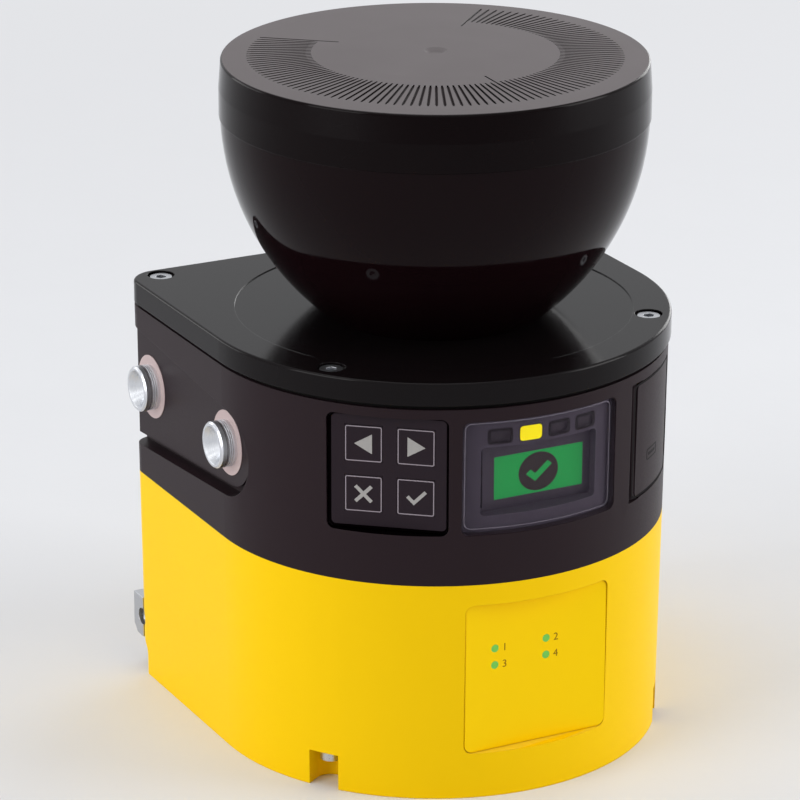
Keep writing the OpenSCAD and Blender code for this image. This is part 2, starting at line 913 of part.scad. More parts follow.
// Threaded bush: a hexagon root in the casting and a turned head with a wide conical mouth
module bush() {
  color(steel)
    difference() {
      union() {
        translate([0, 0, -bush_root_len]) cylinder(h = bush_root_len, d = bush_root_d, $fn = 6);
        translate([0, 0, bush_ring_t])
          cylinder(h = bush_proud - bush_chamfer - bush_ring_t, d = bush_d);
        translate([0, 0, bush_proud - bush_chamfer])
          cylinder(h = bush_chamfer, d1 = bush_d, d2 = bush_d - 2 * bush_chamfer);
        cylinder(h = bush_proud / 2, d = bush_d - bush_chamfer);
      }
      for (i = [0:bush_grooves - 1]) {
        translate([0, 0, bush_groove_z + i * bush_groove_step])
          difference() {
            cylinder(h = bush_groove_w, d = bush_d + over);
            cylinder(h = bush_groove_w, d = bush_d - bush_chamfer);
          }
      }
      translate([0, 0, -bush_root_len - over])
        cylinder(h = bush_root_len + bush_proud + 2 * over, d = thread_d);
      translate([0, 0, bush_proud - bush_mouth_len])
        cylinder(h = bush_mouth_len, d1 = thread_d + bush_relief, d2 = bush_mouth_d);
    }
}

module bush_at(side, y) {
  translate([side * pad_x, y, bush_z]) rotate([0, side * 90, 0]) bush();
}

module left_front_bush() { bush_at(-1, bush_front_y); }
module left_rear_bush() { bush_at(-1, bush_rear_y); }
module right_front_bush() { bush_at(1, bush_front_y); }
module right_rear_bush() { bush_at(1, bush_rear_y); }

// Bare machined rings around the bushes
module bush_rings() {
  color([0.80, 0.74, 0.73])
    at_bushes()
      difference() {
        cylinder(h = bush_ring_t, d = bush_ring_d);
        translate([0, 0, -over]) cylinder(h = 2 * over, d = bush_d - bush_chamfer);
      }
}

// ---------------------------------------------------------------- lid

module edge_profile(reach) {
  square([reach, lid_t - lid_edge_r]);
  square([reach - lid_edge_r, lid_t]);
  translate([reach - lid_edge_r, lid_t - lid_edge_r]) circle(lid_edge_r);
}

// Lid blank with a rounded top edge: a round front, flat sides and rear, round corners
module lid_blank() {
  corner_x = lid_r - lid_corner_r;
  corner_y = lid_rear_y - lid_corner_r;
  rotate([0, 0, 180]) rotate_extrude(angle = 180) edge_profile(lid_r);
  translate([0, corner_y, 0])
    rotate([90, 0, 0])
      linear_extrude(corner_y)
        for (side = [0, 1]) mirror([side, 0]) edge_profile(lid_r);
  translate([-corner_x, 0, 0])
    rotate([90, 0, 90]) linear_extrude(2 * corner_x) edge_profile(lid_rear_y);
  for (side = [0, 1]) {
    mirror([side, 0, 0])
      translate([corner_x, corner_y, 0]) rotate_extrude(angle = 90) edge_profile(lid_corner_r);
  }
}

// Through hole with a cone for the head and a wider pocket around it, its mouth at z = 0
module lid_screw_hole() {
  shank_r = (lid_shank_d + screw_play) / 2;
  head_r = (lid_head_d + screw_play) / 2;
  rim_z = -lid_head_sunk - head_rim;
  rotate_extrude()
    polygon([
      [0, -lid_t - over], [shank_r, -lid_t - over], [shank_r, rim_z - head_cone],
      [head_r, rim_z], [head_r + lid_head_ring, rim_z], [head_r + lid_head_ring, over], [0, over]
    ]);
}

module lid() {
  color(gloss_black)
    difference() {
      translate([0, 0, lid_z]) lid_blank();
      translate([0, 0, lid_z - over]) cylinder(h = lid_t + 2 * over, r = lid_hole_r);
      translate([0, 0, cover_z]) cylinder(h = dish_depth + over, r = dish_r);
      translate([0, 0, cover_z - cover_seal_h]) seal_ring(over);
      at_lid_screws() translate([0, 0, lid_top]) lid_screw_hole();
    }
}

// Upright prism with the outline of the castings' top, moved inwards by inset
module gasket_form(inset, z0, z1) {
  reach = wall_r(deck_z) - inset;
  rear = rear_y + draft - inset;
  corner = corner_r + draft - inset;
  translate([0, 0, z0])
    linear_extrude(z1 - z0) {
      intersection() {
        circle(reach);
        translate([-reach, -reach]) square([2 * reach, reach + rear - corner]);
      }
      translate([-reach, 0]) square([2 * reach, rear - corner]);
      translate([corner - reach, 0]) square([2 * (reach - corner), rear]);
      for (side = [-1, 1]) translate([side * (reach - corner), rear - corner]) circle(corner);
    }
}

module lid_gasket() {
  color(rubber_black)
    difference() {
      gasket_form(gasket_inset, deck_z, lid_z);
      gasket_form(gasket_inset + gasket_w, deck_z - over, lid_z + over);
    }
}

module lid_screws() {
  color(steel)
    at_lid_screws()
      translate([0, 0, lid_top - lid_head_sunk])
        countersunk_screw(lid_head_d, lid_shank_d, lid_screw_len - lid_head_sunk);
}

// ---------------------------------------------------------------- optics cover

// Half section of the bowl's side, set in from its outer face
module bowl_profile(inset, low, high) {
  intersection() {
    translate([bowl_r - bowl_arc_r, bowl_arc_z]) circle(bowl_arc_r - inset, $fn = 2 * $fn);
    translate([0, low]) square([bowl_r, high - low]);
  }
}

module seal_ring(extra = 0) {
  difference() {
    cylinder(h = cover_seal_h + extra, r = cover_seal_r + cover_seal_w / 2);
    translate([0, 0, -over])
      cylinder(h = cover_seal_h + extra + 2 * over, r = cover_seal_r - cover_seal_w / 2);
  }
}

module cover_seal() {
  color(rubber_black) translate([0, 0, cover_z - cover_seal_h]) seal_ring();
}

module optics_cover() {
  lip_r = bowl_r + band_proud - cover_wall - seat_gap;
  color(gloss_black)
    difference() {
      union() {
        rotate_extrude($fn = 128) bowl_profile(0, cover_z, band_z);
        translate([0, 0, band_z - cover_lip_h]) cylinder(h = 2 * cover_lip_h, r = lip_r);
      }
      rotate_extrude($fn = 128)
        bowl_profile(cover_wall, cover_z + cover_foot_h, band_z - cover_lip_h);
      translate([0, 0, cover_z - over]) cylinder(h = cover_foot_h + 2 * over, r = cover_foot_r);
      translate([0, 0, band_z - cover_lip_h - over])
        cylinder(h = 2 * cover_lip_h + 2 * over, r = lip_r - cover_wall);
    }
}

// Height of the domed top at a radius, measured from the cap's edge
function dome_height(r) = dome_rise * (1 - pow(r / bowl_r, 2));

module cover_cap() {
  foot_r = bowl_r + band_proud;
  edge_r = foot_r - cap_taper;
  slope_in = groove_in_r - groove_end_in;
  slope_out = groove_out_r + groove_end_out;
  fall = atan((dome_height(slope_in) - dome_height(slope_out)) / (slope_out - slope_in));
  groove_top = cap_edge_z + dome_height(slope_in);
  color(gloss_black)
    difference() {
      rotate_extrude($fn = 128)
        polygon([
          [0, band_z], [foot_r, band_z], [foot_r, band_z + band_h / 2],
          for (turn = [0:15:90])
            [edge_r - cap_round * (1 - cos(turn)), cap_edge_z - cap_round * (1 - sin(turn))],
          [slope_out, cap_edge_z + dome_height(slope_out)],
          [slope_in, cap_edge_z + dome_height(slope_in)],
          [slope_in / 2, cap_edge_z + dome_height(slope_in / 2)],
          [0, cap_top_z]
        ]);
      translate([0, 0, band_z - over]) cylinder(h = band_h - cap_t + over, r = foot_r - cover_wall);
      translate([0, 0, cap_top_z - dimple_depth])
        cylinder(h = dimple_depth, d1 = dimple_d / 2, d2 = dimple_d);
      for (turn = [-groove_span / 2:groove_pitch:groove_span / 2]) {
        at_end = abs(turn) > groove_span / 2 - groove_pitch;
        longer = at_end || abs(turn) < groove_pitch / 2 ? groove_longer : 0;
        rotate([0, 0, turn])
          translate([0, -slope_in, groove_top])
            rotate([fall, 0, 0])
              translate([-groove_w / 2, slope_in - groove_out_r, -groove_depth])
                cube([groove_w, groove_out_r - groove_in_r + longer, groove_depth + over]);
      }
    }
}

// ---------------------------------------------------------------- keypad

module keypad_panel() {
  hole = key_size + 2 * key_gap;
  flange_hole = key_size + 2 * key_flange + 4 * key_gap;
  color(casting_black)
    difference() {
      radial_prism(keypad_angle, keypad_size, keypad_size, keypad_z, keypad_back_r, keypad_r, keypad_corner);
      at_keys() {
        translate([-hole / 2, -over, -hole / 2]) cube([hole, keypad_t + 2 * over, hole]);
        translate([-flange_hole / 2, key_lip, -flange_hole / 2]) cube([flange_hole, keypad_t, flange_hole]);
      }
    }
}

// Key with a flange behind the panel's lip and a stem towards its dome switch
module key(column, row) {
  flange_w = key_size + 2 * key_flange;
  flange_y = key_lip + key_gap;
  color(casting_black)
    at_key(column, row) {
      translate([-key_size / 2, 0, -key_size / 2]) cube([key_size, flange_y + key_flange_t, key_size]);
      translate([-flange_w / 2, flange_y, -flange_w / 2]) cube([flange_w, key_flange_t, flange_w]);
      translate([0, flange_y, 0])
        rotate([-90, 0, 0])
          cylinder(h = keypad_r - keypad_board_r - dome_h - key_travel - flange_y - dome_play,
                   d = key_stem_d);
    }
}

module key_previous() { key(-1, 1); }
module key_next() { key(1, 1); }
module key_cancel() { key(-1, -1); }
module key_confirm() { key(1, -1); }

module keypad_board() {
  color(board_green) {
    radial_prism(keypad_angle, keypad_board_w, keypad_board_h, keypad_z, keypad_board_r - board_t,
                 keypad_board_r, board_corner);
    at_keys()
      translate([0, keypad_r - keypad_board_r, 0])
        rotate([90, 0, 0]) cylinder(h = dome_h, d1 = dome_d, d2 = dome_top_d);
  }
}

// ---------------------------------------------------------------- display

module display_prism(r_in, r_out) {
  radial_prism(0, window_w - 2 * tray_gap, window_h - 2 * tray_gap, display_z, r_in, r_out,
               window_corner - tray_gap);
}

module display_window() {
  color([0.30, 0.28, 0.31, 0.5])
    intersection() {
      difference() {
        drafted(lower_h, deck_z, window_inset);
        drafted(lower_h - over, deck_z + over, window_inset + window_t);
      }
      display_prism(tray_back_y, lid_r);
    }
}

// Places of the four status lights, from the left
function light_x(i) = light_shift + (i - 1.5) * light_pitch;

module light_prism(i, edge, r_in, r_out) {
  translate([light_x(i), 0, 0])
    radial_prism(0, light_w + 2 * edge, light_h + 2 * edge, light_z, r_in, r_out,
                 light_corner + edge);
}

module display_tray() {
  color([0.28, 0.26, 0.29])
    difference() {
      intersection() {
        drafted(lower_h, deck_z, window_inset + window_t + tray_gap);
        display_prism(tray_back_y, lid_r);
      }
      radial_prism(0, bezel_w, bezel_h, screen_z, screen_y - bezel_depth, lid_r, bezel_corner);
      radial_prism(0, screen_w + 2 * tray_gap, screen_h + 2 * tray_gap, screen_z, tray_back_y - over,
                   screen_y, screen_corner);
      for (i = [0:3]) light_prism(i, tray_gap, tray_back_y - over, lid_r);
    }
}

module display_module() {
  color([0.13, 0.55, 0.27])
    radial_prism(0, screen_w, screen_h, screen_z, tray_back_y, screen_y, screen_corner);
}

module status_light(i) {
  intersection() {
    drafted(lower_h, deck_z, window_inset + window_t + tray_gap + light_drop);
    light_prism(i, 0, tray_back_y, lid_r);
  }
}

module status_lights() {
  color([0.25, 0.22, 0.25]) for (i = [0, 2, 3]) status_light(i);
}

module status_light_on() {
  color([0.98, 0.93, 0.05]) status_light(1);
}

module display_board() {
  color(board_green)
    radial_prism(0, display_board_w, display_board_h, display_z, tray_back_y - board_t, tray_back_y,
                 board_corner);
}

// ---------------------------------------------------------------- service flap

module service_flap() {
  color(casting_black)
    difference() {
      union() {
        intersection() {
          difference() {
            drafted(lower_h, deck_z, flap_inset);
            drafted(lower_h - over, deck_z + over, flap_inset + flap_t);
          }
          rotate([0, 0, flap_angle])
            translate([hinge_r / 2, -pocket_floor_r, flap_z])
              rotate([90, 0, 0])
                linear_extrude(lid_r - pocket_floor_r)
                  rounded_rect(flap_w - hinge_r, flap_h, flap_corner);
        }
        at_hinge() cylinder(h = flap_h, r = hinge_r);
      }
      at_hinge() translate([0, 0, -over]) cylinder(h = flap_h + 2 * over, r = hinge_pin_r + hinge_fit);
    }
}

module flap_hinge_pin() {
  color(steel)
    at_hinge() translate([0, 0, -pin_bite]) cylinder(h = flap_h + 2 * pin_bite, r = hinge_pin_r);
}

module service_socket() {
  low = pocket_floor_r - pocket_floor_t;
  color(steel)
    difference() {
      radial_prism(pocket_angle, socket_w, socket_h, flap_z, low, low + socket_len, socket_corner);
      radial_prism(pocket_angle, socket_w - 2 * socket_wall, socket_h - 2 * socket_wall, flap_z,
                   low + socket_back, low + socket_len + over, socket_corner - socket_wall);
    }
  color(rubber_black)
    radial_prism(pocket_angle, tongue_w, socket_h - 2 * tongue_edge, flap_z, low,
                 low + socket_len - tongue_drop, socket_corner - socket_wall);
}

// ---------------------------------------------------------------- network panel

module network_panel() {
  color(yellow)
    difference() {
      net_prism(-tray_gap, net_y - net_t, net_y);
      at_net_lights() cylinder(h = lid_r, d = net_light_d);
    }
}

module network_lights() {
  back_y = net_y - net_t - net_backing;
  color([0.45, 0.78, 0.30])
    at_net_lights() translate([0, 0, back_y]) cylinder(h = net_y - back_y, d = net_light_d);
}

module network_board() {
  back_y = net_y - net_t - net_backing;
  board_y = back_y - net_board_gap;
  color(board_green) {
    radial_prism(0, net_w, net_h - 2 * net_board_edge, net_z, board_y - board_t, board_y, board_corner);
    for (x = [-1, 1], z = [-1, 1]) {
      translate([
        x * (net_w / 2 - net_spacer_edge_x), -board_y, net_z + z * (net_h / 2 - net_spacer_edge_z)
      ])
        rotate([90, 0, 0]) cylinder(h = net_board_gap, d = net_spacer_d);
    }
    at_net_lights() translate([0, 0, board_y]) cylinder(h = net_chip_h, d = net_chip_d);
  }
}

// ---------------------------------------------------------------- connections

module at_module_screws() {
  for (x = [-1, 1], z = [-1, 1]) {
    translate([x * module_screw_x, module_y, plug_z + z * module_screw_z]) rotate([-90, 0, 0]) children();
  }
}

module at_plug(i) {
  translate([i * plug_pitch, module_y, plug_z]) rotate([-90, 0, 0]) children();
}

module connection_module() {
  width = recess_w - 2 * seat_gap;
  height = recess_h - 2 * seat_gap;
  color(casting_black)
    difference() {
      translate([0, module_y, plug_z])
        rotate([90, 0, 0]) linear_extrude(module_depth) rounded_rect(width, height, module_corner);
      at_module_screws()
        translate([0, 0, -module_head_sink])
          cylinder(h = module_head_sink + over, d = module_head_d + module_head_play);
      for (i = [-1:1]) {
        at_plug(i)
          translate([0, 0, -module_depth - over])
            cylinder(h = module_depth + 2 * over, d = plug_d);
      }
    }
}

module module_screws() {
  color(steel)
    at_module_screws()
      translate([0, 0, -module_head_sink])
        difference() {
          cylinder(h = module_head_h, d = module_head_d);
          translate([0, 0, module_socket_floor]) cylinder(h = module_head_h, d = module_socket_d, $fn = 6);
        }
}

// Round screw connector: a hexagon collar, a threaded barrel and a cup at its mouth
module connector_barrel() {
  difference() {
    union() {
      cylinder(h = plug_nut_h, d = plug_nut_d, $fn = 6);
      translate([0, 0, -module_depth]) cylinder(h = module_depth + plug_nut_h + plug_len, d = plug_d);
    }
    translate([0, 0, plug_floor_z]) cylinder(h = plug_cup + over, d = plug_d - 2 * plug_wall);
  }
}

module power_connector() {
  color(steel)
    at_plug(-1) connector_barrel();
  color([0.85, 0.75, 0.35])
    at_plug(-1)
      for (i = [0:contact_pins - 1]) {
        rotate([0, 0, i * 360 / contact_pins])
          translate([contact_pin_r, 0, plug_floor_z]) cylinder(h = contact_pin_len, d = contact_pin_d);
      }
}

// Female connector: its insert fills the cup and holds the contact holes
module network_connector(i) {
  color(steel) at_plug(i) connector_barrel();
  color(rubber_black)
    at_plug(i)
      difference() {
        translate([0, 0, plug_floor_z])
          cylinder(h = insert_len, d = plug_d - 2 * plug_wall - 2 * insert_gap);
        for (i = [0.5:contact_holes]) {
          rotate([0, 0, i * 360 / contact_holes])
            translate([contact_hole_r, 0, plug_floor_z + contact_floor])
              cylinder(h = plug_cup, d = contact_hole_d);
        }
      }
}

module network_connector_a() { network_connector(0); }
module network_connector_b() { network_connector(1); }

// ---------------------------------------------------------------- boards

module main_board() {
  board_z = wall + spacer_h;
  color(board_green)
    translate([-main_board_w / 2, -main_board_front, board_z])
      cube([main_board_w, main_board_front + main_board_rear, board_t]);
  color(rubber_black)
    translate([0, 0, board_z + board_t]) {
      for (i = [0:len(chip_places) - 1]) translate(chip_places[i]) cube(chip_sizes[i]);
      for (x = capacitor_x) translate([x, capacitor_y, 0]) cylinder(h = capacitor_h, d = capacitor_d);
    }
}

module board_spacers() {
  color(steel)
    for (x = [-1, 1], y = [spacer_edge_y - main_board_front, main_board_rear - spacer_edge_y]) {
      translate([x * (main_board_w / 2 - spacer_edge_x), y, wall]) cylinder(h = spacer_h, d = spacer_d);
    }
}

// ---------------------------------------------------------------- rotor and optics

module ring(z, h, r_in, r_out) {
  translate([0, 0, z])
    difference() {
      cylinder(h = h, r = r_out);
      translate([0, 0, -over]) cylinder(h = h + 2 * over, r = r_in);
    }
}

module at_posts() {
  for (turn = [0, 120, 240]) rotate([0, 0, turn]) translate([0, post_r, 0]) children();
}

module optics_frame() {
  plate_front = post_r * cos(60) + post_d / 2 + frame_edge;
  color(steel)
    difference() {
      union() {
        translate([-frame_rail_x + seat_gap, -plate_front, frame_z])
          cube([2 * (frame_rail_x - seat_gap), plate_front + barrel_base_r, frame_t]);
        translate([0, 0, tube_z]) cylinder(h = tube_top - tube_z, r = tube_r);
      }
      translate([0, 0, tube_z - over]) cylinder(h = tube_top - tube_z + 2 * over, r = tube_in_r);
    }
}

module rotor_bearings() {
  color(steel)
    for (z = [bearing_low_z, bearing_high_z]) {
      difference() {
        ring(z, bearing_h, shaft_r + shaft_fit, tube_in_r);
        for (end = [0, bearing_h]) {
          ring(z + end - bearing_groove, 2 * bearing_groove, shaft_r + bearing_race,
               tube_in_r - bearing_race);
        }
      }
    }
}

// Motor stator with winding slots, hung from the frame around the bearing tube
module motor_stator() {
  color([0.72, 0.45, 0.20])
    difference() {
      ring(tube_z, frame_z - tube_z, tube_r, stator_r);
      for (turn = [0:40:320]) {
        rotate([0, 0, turn])
          translate([stator_r - stator_slot_depth, -stator_slot_w / 2, tube_z - over])
            cube([stator_slot_depth + over, stator_slot_w, frame_z - tube_z - over]);
      }
    }
}

module rotor_shaft() {
  color(steel) {
    ring(shaft_z, holder_z - shaft_z, shaft_in_r, shaft_r);
    ring(shaft_flange_z, shaft_flange_h, shaft_in_r, holder_r);
  }
}

module motor_rotor() {
  color(casting_black) {
    ring(bell_z, bell_t, shaft_r, bell_r);
    ring(bell_z, frame_z - bell_gap - bell_z, bell_in_r, bell_r);
  }
}

module encoder_disc() {
  color([0.6, 0.6, 0.62])
    difference() {
      ring(bell_z - encoder_t, encoder_t, shaft_r, encoder_r);
      for (turn = [0:10:350]) {
        rotate([0, 0, turn])
          translate([bell_r + encoder_slot_edge, -encoder_slot_w / 2, bell_z - encoder_t - over])
            cube([encoder_slot_len, encoder_slot_w, encoder_t + 2 * over]);
      }
    }
}

module encoder_sensor() {
  low_z = bell_z - encoder_t - sensor_gap - sensor_arm_t;
  back_x = encoder_r + sensor_edge;
  arm_x = bell_r + sensor_gap;
  color(rubber_black)
    translate([0, -sensor_w / 2, 0]) {
      translate([back_x, 0, low_z]) cube([sensor_t, sensor_w, frame_z - low_z]);
      for (z = [low_z, bell_z + sensor_gap]) {
        translate([arm_x, 0, z]) cube([back_x + over - arm_x, sensor_w, sensor_arm_t]);
      }
    }
}

// Everything in front of and below the mirror's back face, moved along its normal
module mirror_side(shift) {
  size = 3 * bowl_r;
  translate([0, 0, mirror_z])
    rotate([45, 0, 0]) translate([-size / 2, -size + shift, -size / 2]) cube(size);
}

module mirror_holder() {
  inner = holder_r - cheek_t;
  color(casting_black)
    difference() {
      translate([0, 0, holder_z]) cylinder(h = mirror_z + inner - holder_z, r = holder_r);
      intersection() {
        mirror_side(mirror_t);
        union() {
          translate([-inner, -2 * holder_r, holder_z - over]) cube([2 * inner, 4 * holder_r, 3 * holder_r]);
          translate([-2 * holder_r, -2 * holder_r, holder_z - over])
            cube([4 * holder_r, 2 * holder_r - cheek_t, 3 * holder_r]);
        }
      }
    }
}

module scan_mirror() {
  inner = holder_r - cheek_t - mirror_gap;
  color([0.85, 0.87, 0.9])
    intersection() {
      difference() {
        mirror_side(mirror_t);
        mirror_side(0);
      }
      translate([0, 0, holder_z]) cylinder(h = 3 * holder_r, r = holder_r - mirror_edge);
      translate([-inner, -holder_r, holder_z + mirror_edge])
        cube([2 * inner, 2 * holder_r, mirror_z + holder_r - mirror_top_edge - holder_z]);
    }
}

module optics_barrel() {
  color(casting_black) {
    ring(barrel_z, barrel_base_t, laser_d / 2 + barrel_hole_edge, barrel_base_r);
    ring(barrel_z, barrel_top - barrel_z, barrel_in_r, barrel_r);
    ring(lens_z - lens_seat_t, lens_seat_t, barrel_in_r - lens_seat_w, barrel_r);
    at_posts()
      translate([0, 0, barrel_z + barrel_base_t])
        cylinder(h = frame_z - barrel_z - barrel_base_t, d = post_d);
  }
}

module receiver_lens() {
  rim = barrel_in_r - lens_edge;
  hole = laser_d / 2 + lens_hole_edge;
  color([0.35, 0.2, 0.3, 0.6])
    rotate_extrude()
      polygon([
        [hole, lens_z], [rim, lens_z],
        for (step = [0:6])
          [rim - step * (rim - hole) / 6, lens_z + lens_t - lens_bulge * pow(1 - step / 6, 2)]
      ]);
}

module receiver_board() {
  color(board_green)
    ring(barrel_z + barrel_base_t, board_t, laser_d / 2 - barrel_hole_edge, barrel_in_r - lens_edge);
}

module laser_module() {
  low = barrel_z + barrel_base_t + board_t;
  color([0.8, 0.68, 0.35])
    difference() {
      translate([0, 0, low]) cylinder(h = laser_len, d = laser_d);
      translate([0, 0, low + laser_len - laser_mouth_depth])
        cylinder(h = laser_mouth_depth + over, d = laser_mouth_d);
    }
}

// ---------------------------------------------------------------- assembly

lower_housing();
upper_housing();
middle_gasket();
lid();
lid_gasket();
lid_screws();
housing_screws();
left_front_bush();
left_rear_bush();
right_front_bush();
right_rear_bush();
bush_rings();
left_lug();
right_lug();
optics_cover();
cover_cap();
cover_seal();
keypad_panel();
keypad_board();
key_previous();
key_next();
key_cancel();
key_confirm();
display_window();
display_tray();
display_module();
status_lights();
status_light_on();
display_board();
service_flap();
flap_hinge_pin();
service_socket();
network_panel();
network_lights();
network_board();
connection_module();
module_screws();
power_connector();
network_connector_a();
network_connector_b();
main_board();
board_spacers();
optics_frame();
rotor_bearings();
motor_stator();
rotor_shaft();
motor_rotor();
encoder_disc();
encoder_sensor();
mirror_holder();
scan_mirror();
optics_barrel();
receiver_lens();
receiver_board();
laser_module();
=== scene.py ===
"""Safety laser scanner: finishes, signs, screw threads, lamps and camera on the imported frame."""

import json
import math

import bmesh
import bpy
from mathutils import Matrix, Vector


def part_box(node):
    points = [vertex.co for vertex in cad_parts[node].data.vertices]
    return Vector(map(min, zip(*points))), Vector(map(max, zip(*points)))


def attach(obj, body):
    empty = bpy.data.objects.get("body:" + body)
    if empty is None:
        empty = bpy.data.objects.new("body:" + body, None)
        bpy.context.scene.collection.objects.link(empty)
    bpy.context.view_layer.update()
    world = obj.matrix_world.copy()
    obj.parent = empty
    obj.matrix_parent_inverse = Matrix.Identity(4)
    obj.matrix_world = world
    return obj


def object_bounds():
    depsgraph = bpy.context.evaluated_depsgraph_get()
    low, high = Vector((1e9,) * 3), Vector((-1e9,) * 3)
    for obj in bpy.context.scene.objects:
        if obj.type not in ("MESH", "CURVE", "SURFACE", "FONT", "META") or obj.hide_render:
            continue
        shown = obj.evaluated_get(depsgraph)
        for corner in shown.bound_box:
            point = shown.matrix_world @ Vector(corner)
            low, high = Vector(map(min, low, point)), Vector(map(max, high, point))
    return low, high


MM = 0.001
UP = Vector((0, 0, 1))
FRONT = Vector((0, -1, 0))

BUSHES = ("left_front_bush", "left_rear_bush", "right_front_bush", "right_rear_bush")
LUGS = ("left_lug", "right_lug")
CONNECTORS = ("power_connector", "network_connector_a", "network_connector_b")

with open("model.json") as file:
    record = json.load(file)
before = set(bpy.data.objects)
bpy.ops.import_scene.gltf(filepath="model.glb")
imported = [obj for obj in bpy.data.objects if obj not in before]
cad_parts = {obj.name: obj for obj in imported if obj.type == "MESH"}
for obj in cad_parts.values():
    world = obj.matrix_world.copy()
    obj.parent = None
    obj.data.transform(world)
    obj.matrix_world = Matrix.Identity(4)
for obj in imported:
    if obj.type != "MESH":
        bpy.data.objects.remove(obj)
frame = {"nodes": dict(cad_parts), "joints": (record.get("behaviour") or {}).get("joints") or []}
cad_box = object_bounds()


# ---------------------------------------------------------------- what the frame holds


def mesh_of(node):
    """Mesh of a CAD node."""
    return frame["nodes"][node].data


def corners_of(node):
    """Places of a CAD node's vertices."""
    return [vertex.co.copy() for vertex in mesh_of(node).vertices]


def middle(node):
    """Middle of a CAD node's box."""
    low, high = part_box(node)
    return (low + high) / 2


def height_of(node):
    """Height of a CAD node's box."""
    low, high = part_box(node)
    return high.z - low.z


def inward_from_side(node):
    """Direction into the housing for a node that stands on its left or right side."""
    low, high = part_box(node)
    return Vector((1 if high.x < 0 else -1, 0, 0))


def press_direction(key):
    """Direction in which a key is pressed."""
    joint = next(joint for joint in frame["joints"] if joint["child"] == key)
    return Vector(joint["axis"])


def solid_middles(node, reach):
    """x and z of the middle of each solid of a node, whose solids are smaller than reach."""
    groups = []
    for corner in sorted(corners_of(node), key=lambda c: c.x):
        for group in groups:
            if corner.x - group[0].x < reach and abs(corner.z - group[0].z) < reach:
                group.append(corner)
                break
        else:
            groups.append([corner])
    return [
        tuple((min(c[i] for c in group) + max(c[i] for c in group)) / 2 for i in (0, 2))
        for group in groups
    ]


# ---------------------------------------------------------------- shader building blocks


def srgb(red, green, blue):
    """Linear colour of a screen colour that is given from 0 to 255."""

    def linear(value):
        """One channel of it."""
        value /= 255
        return value / 12.92 if value <= 0.04045 else ((value + 0.055) / 1.055) ** 2.4

    return (linear(red), linear(green), linear(blue), 1.0)


def scaled(colour, factor):
    """A lighter or darker colour."""
    return (*(min(1.0, c * factor) for c in colour[:3]), 1.0)


def link(owner, output, socket):
    """Links two sockets in the node tree of a material or a world."""
    owner.node_tree.links.new(output, socket)


def feed(owner, socket, value):
    """Links an output to a socket, or sets the socket to a constant."""
    if isinstance(value, bpy.types.NodeSocket):
        link(owner, value, socket)
    else:
        socket.default_value = value


def add(owner, kind, **inputs):
    """Adds a shader node and feeds its named inputs."""
    node = owner.node_tree.nodes.new(kind)
    for name, value in inputs.items():
        feed(owner, node.inputs[name.replace("_", " ")], value)
    return node


def new_material(name, **inputs):
    """A principled material with some of its sockets set."""
    mat = bpy.data.materials.new(name)
    mat.use_nodes = True
    shader = mat.node_tree.nodes["Principled BSDF"]
    for socket, value in inputs.items():
        shader.inputs[socket.replace("_", " ")].default_value = value
    return mat, shader


def maths(owner, operation, first, second):
    """Result of a math operation on two outputs or numbers."""
    node = add(owner, "ShaderNodeMath")
    node.operation = operation
    feed(owner, node.inputs[0], first)
    feed(owner, node.inputs[1], second)
    return node.outputs[0]


def vector_maths(mat, operation, first, second=(0, 0, 0)):
    """Result of a vector operation on an output and a constant."""
    node = add(mat, "ShaderNodeVectorMath")
    node.operation = operation
    link(mat, first, node.inputs[0])
    node.inputs[1].default_value = second
    return node.outputs["Value" if operation == "LENGTH" else "Vector"]


def ramp(owner, value, start, end, low=0.0, high=1.0):
    """low where value is at start or beyond it, high at end, straight between."""
    node = add(
        owner, "ShaderNodeMapRange",
        Value=value, From_Min=start, From_Max=end, To_Min=low, To_Max=high,
    )
    return node.outputs["Result"]


NOISE_LOW, NOISE_HIGH = 0.3, 0.7
FINE_DETAIL, BROAD_DETAIL = 4.0, 2.0


def object_place(mat):
    """Place on the object, in metres."""
    return add(mat, "ShaderNodeTexCoord").outputs["Object"]


def noise(mat, place, size, detail):
    """Noise with blotches about size metres wide, mostly between NOISE_LOW and NOISE_HIGH."""
    node = add(mat, "ShaderNodeTexNoise", Vector=place, Scale=1 / size, Detail=detail)
    return node.outputs["Fac"]


def noisy(mat, fac, low, high):
    """A number that runs from low to high with a noise."""
    return ramp(mat, fac, NOISE_LOW, NOISE_HIGH, low, high)


# The mix node's sockets for colours; those before them are for numbers and vectors.
MIX_FIRST, MIX_SECOND, MIX_RESULT = 6, 7, 2


def blend_colours(mat, factor, first, second):
    """Colour between first and second; either may be a colour or an output."""
    node = add(mat, "ShaderNodeMix")
    node.data_type = "RGBA"
    link(mat, factor, node.inputs["Factor"])
    feed(mat, node.inputs[MIX_FIRST], first)
    feed(mat, node.inputs[MIX_SECOND], second)
    return node.outputs[MIX_RESULT]


def bumped(mat, shader, height, depth, edge=0.0):
    """Fine relief from a height, on edges that look rounded by edge metres."""
    bump = add(mat, "ShaderNodeBump", Height=height, Distance=depth, Strength=1.0)
    if edge:
        bevel = add(mat, "ShaderNodeBevel", Radius=edge)
        bevel.samples = 4
        link(mat, bevel.outputs["Normal"], bump.inputs["Normal"])
    link(mat, bump.outputs["Normal"], shader.inputs["Normal"])


def facing_up(mat):
    """1 where the surface faces straight up, 0 on its sides."""
    normal = add(mat, "ShaderNodeTexCoord").outputs["Normal"]
    z = add(mat, "ShaderNodeSeparateXYZ", Vector=normal).outputs["Z"]
    return ramp(mat, z, 0.9, 0.99)


# ---------------------------------------------------------------- finishes

# Low values, so that the black paints mirror little of the pale surround.
SOFT_IOR = 1.2
GLOSS_IOR = 1.17
DULL_IOR = 1.02


